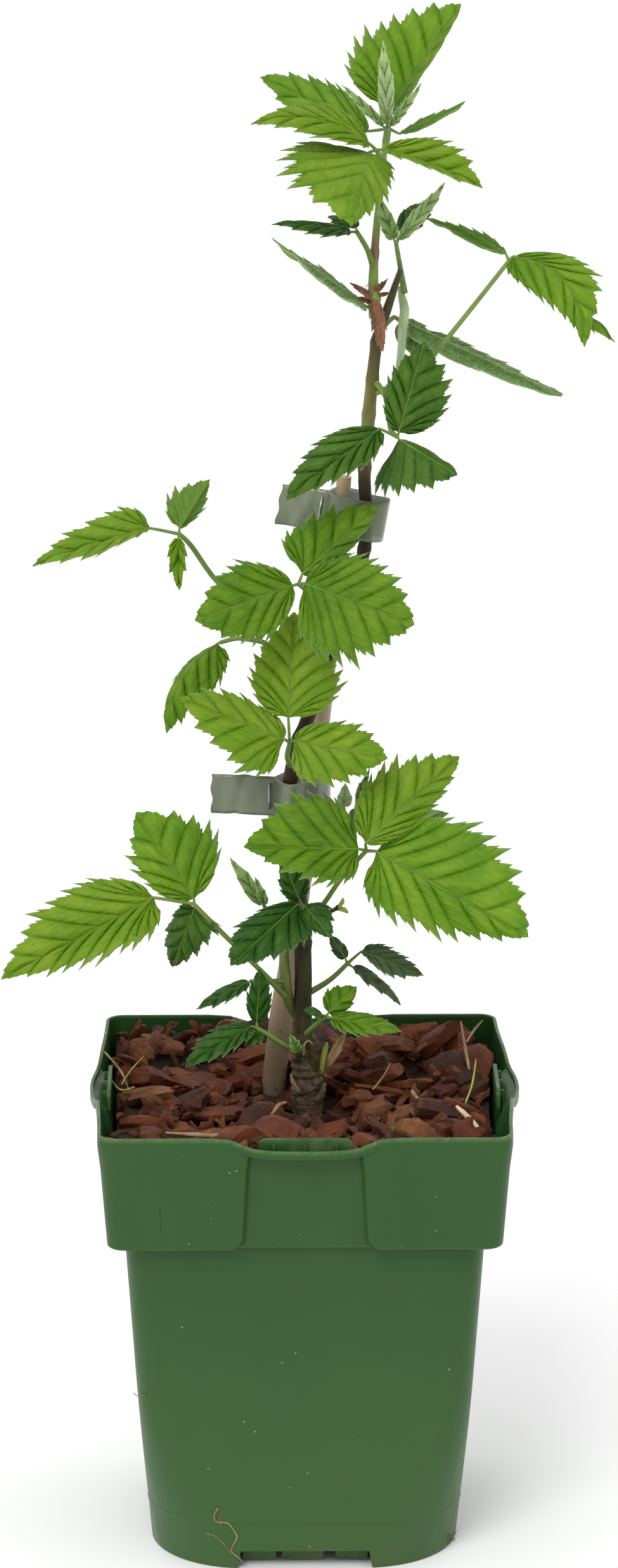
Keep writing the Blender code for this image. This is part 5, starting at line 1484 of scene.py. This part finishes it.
def makeLitter():
    draw, moss = random.Random(12), []
    count, spread = litter["tuft"]
    for place in litter["moss"]:
        middle = seen(place)
        for _ in range(count):
            foot = middle + Vector((draw.gauss(0, spread), draw.gauss(0, spread), draw.uniform(-1.5, 0)))
            way = Vector((draw.uniform(-0.9, 0.9), draw.uniform(-0.9, 0.5), draw.uniform(0.5, 1.5)))
            moss.append([(foot, 0.15), (foot.lerp(foot + way, 0.6), 0.12), (foot + way, 0.03)])
    return [
        grown("straw", litter, strawPale, sides=7, bumps=0.7),
        grown("grass", litter, budGreen, sides=6, bumps=0.1),
        grown("twigs", litter, dryTan, sides=7, bumps=0.6),
        stem("moss", moss, mossGreen, sides=4, bumps=0.0, steps=2),
    ]


def makeMulch():
    draw = random.Random(mulch["seed"])
    kinds = {kind: kindsOf(kind, draw, *form) for kind, form in mulch["kinds"].items()}
    layers = []
    for kind, gap, density, smallest, largest, tilt, seed in mulch["layers"]:
        points, quads, keep = strewBed(gap)
        layer = meshFrom("bed", points, quads[keep])
        layer = runTree(layer, strewTree, Density=density, Smallest=smallest, Largest=largest, Tilt=tilt,
                        Seed=seed, Kinds=kinds[kind], Bark=barkChips)
        keepInside(layer)
        layers.append(layer)
    points, quads, _ = strewBed(mulch["bedGap"])
    points[:, 2] -= mulch["sink"]
    bed = meshFrom("bed", points, quads, {"grain": points[:, :2] / 20})
    bed.data.materials.append(soilDark)
    bed = thicken(bed, mulch["bedWall"], offset=-1.0)
    keepInside(bed)
    piece = joinPieces([bed] + layers + makeLitter(), "bark_chips")
    for group in kinds.values():
        for chip in list(group.objects):
            bpy.data.objects.remove(chip)
        bpy.data.collections.remove(group)
    finishPiece(piece, "bark_mulch")
    print("mulch made:", triangles(piece), "triangles")


barkChips = barkMaterial("barkChips", (0.024, 0.007, 0.003), (0.170, 0.040, 0.014), (0.320, 0.140, 0.060))
strawPale = skinMaterial("strawPale", (0.480, 0.360, 0.190), (0.720, 0.600, 0.400), 0.7, 300.0)
mossGreen = skinMaterial("mossGreen", (0.100, 0.200, 0.015), (0.230, 0.360, 0.040), 0.8, 900.0)
makeMulch()
soil = frame["nodes"]["potting_soil"]
soil.data.materials.clear()
soil.data.materials.append(soilDark)

# tie tapes with their staples
ties = {
    "tie_lower": {
        "loop": ((438, 1257, 1), (446, 1257, -6), (466, 1257, -8), (506, 1257, 3), (521, 1257, 12),
                 (512, 1257, 20), (484, 1257, 20), (452, 1257, 8)),
        "tail": (334, 1257, 5), "lean": 0.0, "slope": 0.0, "crumple": (378, 1.5),
    },
    "tie_upper": {
        "loop": ((518, 806, 10), (524, 806, 4), (572, 806, -1), (604, 806, 0), (608, 806, 7),
                 (582, 806, 10), (558, 806, 16), (528, 806, 17)),
        "tail": (440, 800, 13), "lean": 0.18, "slope": -0.1, "crumple": (470, 0.4),
    },
}
tape = {
    "height": 13.0, "thickness": 0.22, "rows": 11, "gap": 0.35, "wrinkle": 0.10,
    "stapleRadius": 0.35, "stapleHeight": 8.0, "stapleAway": 2.6, "stapleReach": 1.1,
}

tapePlastic, tree, shader = newMaterial("tapePlastic", Roughness=0.22, Specular_IOR_Level=0.6)
place = objectPlace(tree)
milky = remap(tree, noise(tree, objectPlace(tree, (1, 1, 0.3)), 90.0, 3.0), 0.3, 0.7)
setColour(tree, shader, mixColour(tree, milky, (0.115, 0.142, 0.086), (0.215, 0.248, 0.165)))
tree.links.new(remap(tree, milky, 0.0, 1.0, 0.70, 0.82), shader.inputs["Alpha"])
setBump(tree, shader, noise(tree, objectPlace(tree, (1, 1, 0.25)), 160.0, 3.0), 0.35, 0.0012)

stapleWire, tree, shader = newMaterial("stapleWire", Metallic=1.0, Roughness=0.32)
shine = mixColour(tree, noise(tree, objectPlace(tree), 600.0), (0.42, 0.42, 0.42), (0.62, 0.62, 0.62))
setColour(tree, shader, shine)


def makeTie(node, form):
    draw = random.Random(6)
    loop = [seen(place) for place in form["loop"]]
    pinch, tail = loop[0], seen(form["tail"])
    outward = Vector((tail.x - pinch.x, tail.y - pinch.y, 0)).normalized()
    sideways = Vector((outward.y, -outward.x, 0))
    level = [Vector((point.x, point.y, 0)) for point in loop]
    tailEnd = Vector((tail.x, tail.y, 0))
    gap, meet = sideways * tape["gap"], level[0] + outward * 1.0
    # one strip: along the tail, round the stems and back along the tail
    band = [tailEnd + gap, meet + gap * 0.6] + level[1:] + [meet - gap * 0.6, tailEnd - gap]
    if (level[1] - level[0]).dot(sideways) < 0:
        band[0], band[1], band[-2], band[-1] = band[-1], band[-2], band[1], band[0]
    line = [band[0].lerp(band[1], k / 14) for k in range(14)]
    line += [point for point, _ in smoothPath([(point, 0.0) for point in band[1:-1]], 7)]
    line += [band[-2].lerp(band[-1], k / 14) for k in range(1, 15)]

    def onStrip(point, height):
        # a height over the strip's middle, carried along its lean and slope
        rise = form["slope"] * (point.x - pinch.x)
        return Vector((form["lean"] * height, 0, pinch.z + height + rise))

    crumplePixel, crumple = form["crumple"]
    crumpleX = seen((crumplePixel, 1257, 5)).x
    points, rows = [], tape["rows"]
    waves = [(draw.uniform(0.5, 1.2), draw.uniform(0, 6.28), draw.uniform(-0.5, 0.5)) for _ in range(4)]
    for i, point in enumerate(line):
        onTail = max(0.0, min(1.0, (point - level[0]).dot(outward) / 4.0))
        for row in range(rows):
            height = (row / (rows - 1) - 0.5) * tape["height"]
            wrinkle = sum(math.sin(f * (point.x * 0.8 + lean * height) + p) for f, p, lean in waves)
            fold = crumple * math.exp(-((point.x - crumpleX - 0.3 * height) / 1.3) ** 2)
            shift = sideways * ((wrinkle * tape["wrinkle"] + fold) * onTail)
            trim = outward * (0.35 * math.sin(height * 0.9)) * (onTail > 0.99) * (i in (0, len(line) - 1))
            points.append(point + shift + trim + onStrip(point, height))
    quads = gridQuads(len(line), rows)[:, [0, 3, 2, 1]]
    strip = meshFrom("tape_" + node[4:], [tuple(point) for point in points], quads)
    strip.data.materials.append(tapePlastic)
    finishPiece(thicken(strip, tape["thickness"]), node)
    at = Vector((pinch.x, pinch.y, 0)) + outward * tape["stapleAway"]
    foot, head = (at + onStrip(at, end * tape["stapleHeight"] / 2) for end in (-1, 1))
    near = sideways * (-tape["stapleReach"] if sideways.y > 0 else tape["stapleReach"])
    wire = [(point, tape["stapleRadius"]) for point in (foot - near, foot + near, head + near, head - near)]
    staple = stem("wire_" + node[4:], [wire], stapleWire, sides=10, bumps=0.0, steps=1)
    finishPiece(staple, node.replace("tie", "staple"))


for node, form in ties.items():
    makeTie(node, form)
print("ties made")


# camera and light
camera = newPiece("camera", bpy.data.cameras.new("camera"))
camera.location = eye * mm
camera.rotation_euler = (math.pi / 2 - view["pitch"], 0, view["turn"])
camera.data.sensor_width = view["sensor"]
camera.data.lens = view["focalPixels"] * view["sensor"] / view["photoSize"][1]
bpy.context.scene.camera = camera

studio = {"sky": 1.0, "sun": 1.3, "sunSpread": 24.0, "sunTurn": (44.0, 6.0, -28.0), "floor": 0.93}
world = bpy.data.worlds.new("studio")
bpy.context.scene.world = world
world.use_nodes = True
sky = world.node_tree.nodes["Background"].inputs
sky["Color"].default_value, sky["Strength"].default_value = (1.0, 1.0, 1.0, 1.0), studio["sky"]
sun = newPiece("sun", bpy.data.lights.new("sun", "SUN"))
sun.data.energy = studio["sun"]
sun.data.angle = math.radians(studio["sunSpread"])
sun.rotation_euler = [math.radians(angle) for angle in studio["sunTurn"]]
floorMaterial, tree, shader = newMaterial("floorPale", Roughness=0.8)
tone = remap(tree, noise(tree, objectPlace(tree), 3.0), 0.0, 1.0, studio["floor"] - 0.01, studio["floor"])
setColour(tree, shader, joinAxes(tree, tone, tone, tone))
corners = [(-9000, -4000, 0), (9000, -4000, 0), (9000, 12000, 0), (-9000, 12000, 0)]
floor = meshFrom("floor", corners, [(0, 1, 2, 3)])
floor.data.materials.append(floorMaterial)
bpy.context.scene.view_settings.view_transform = "Standard"
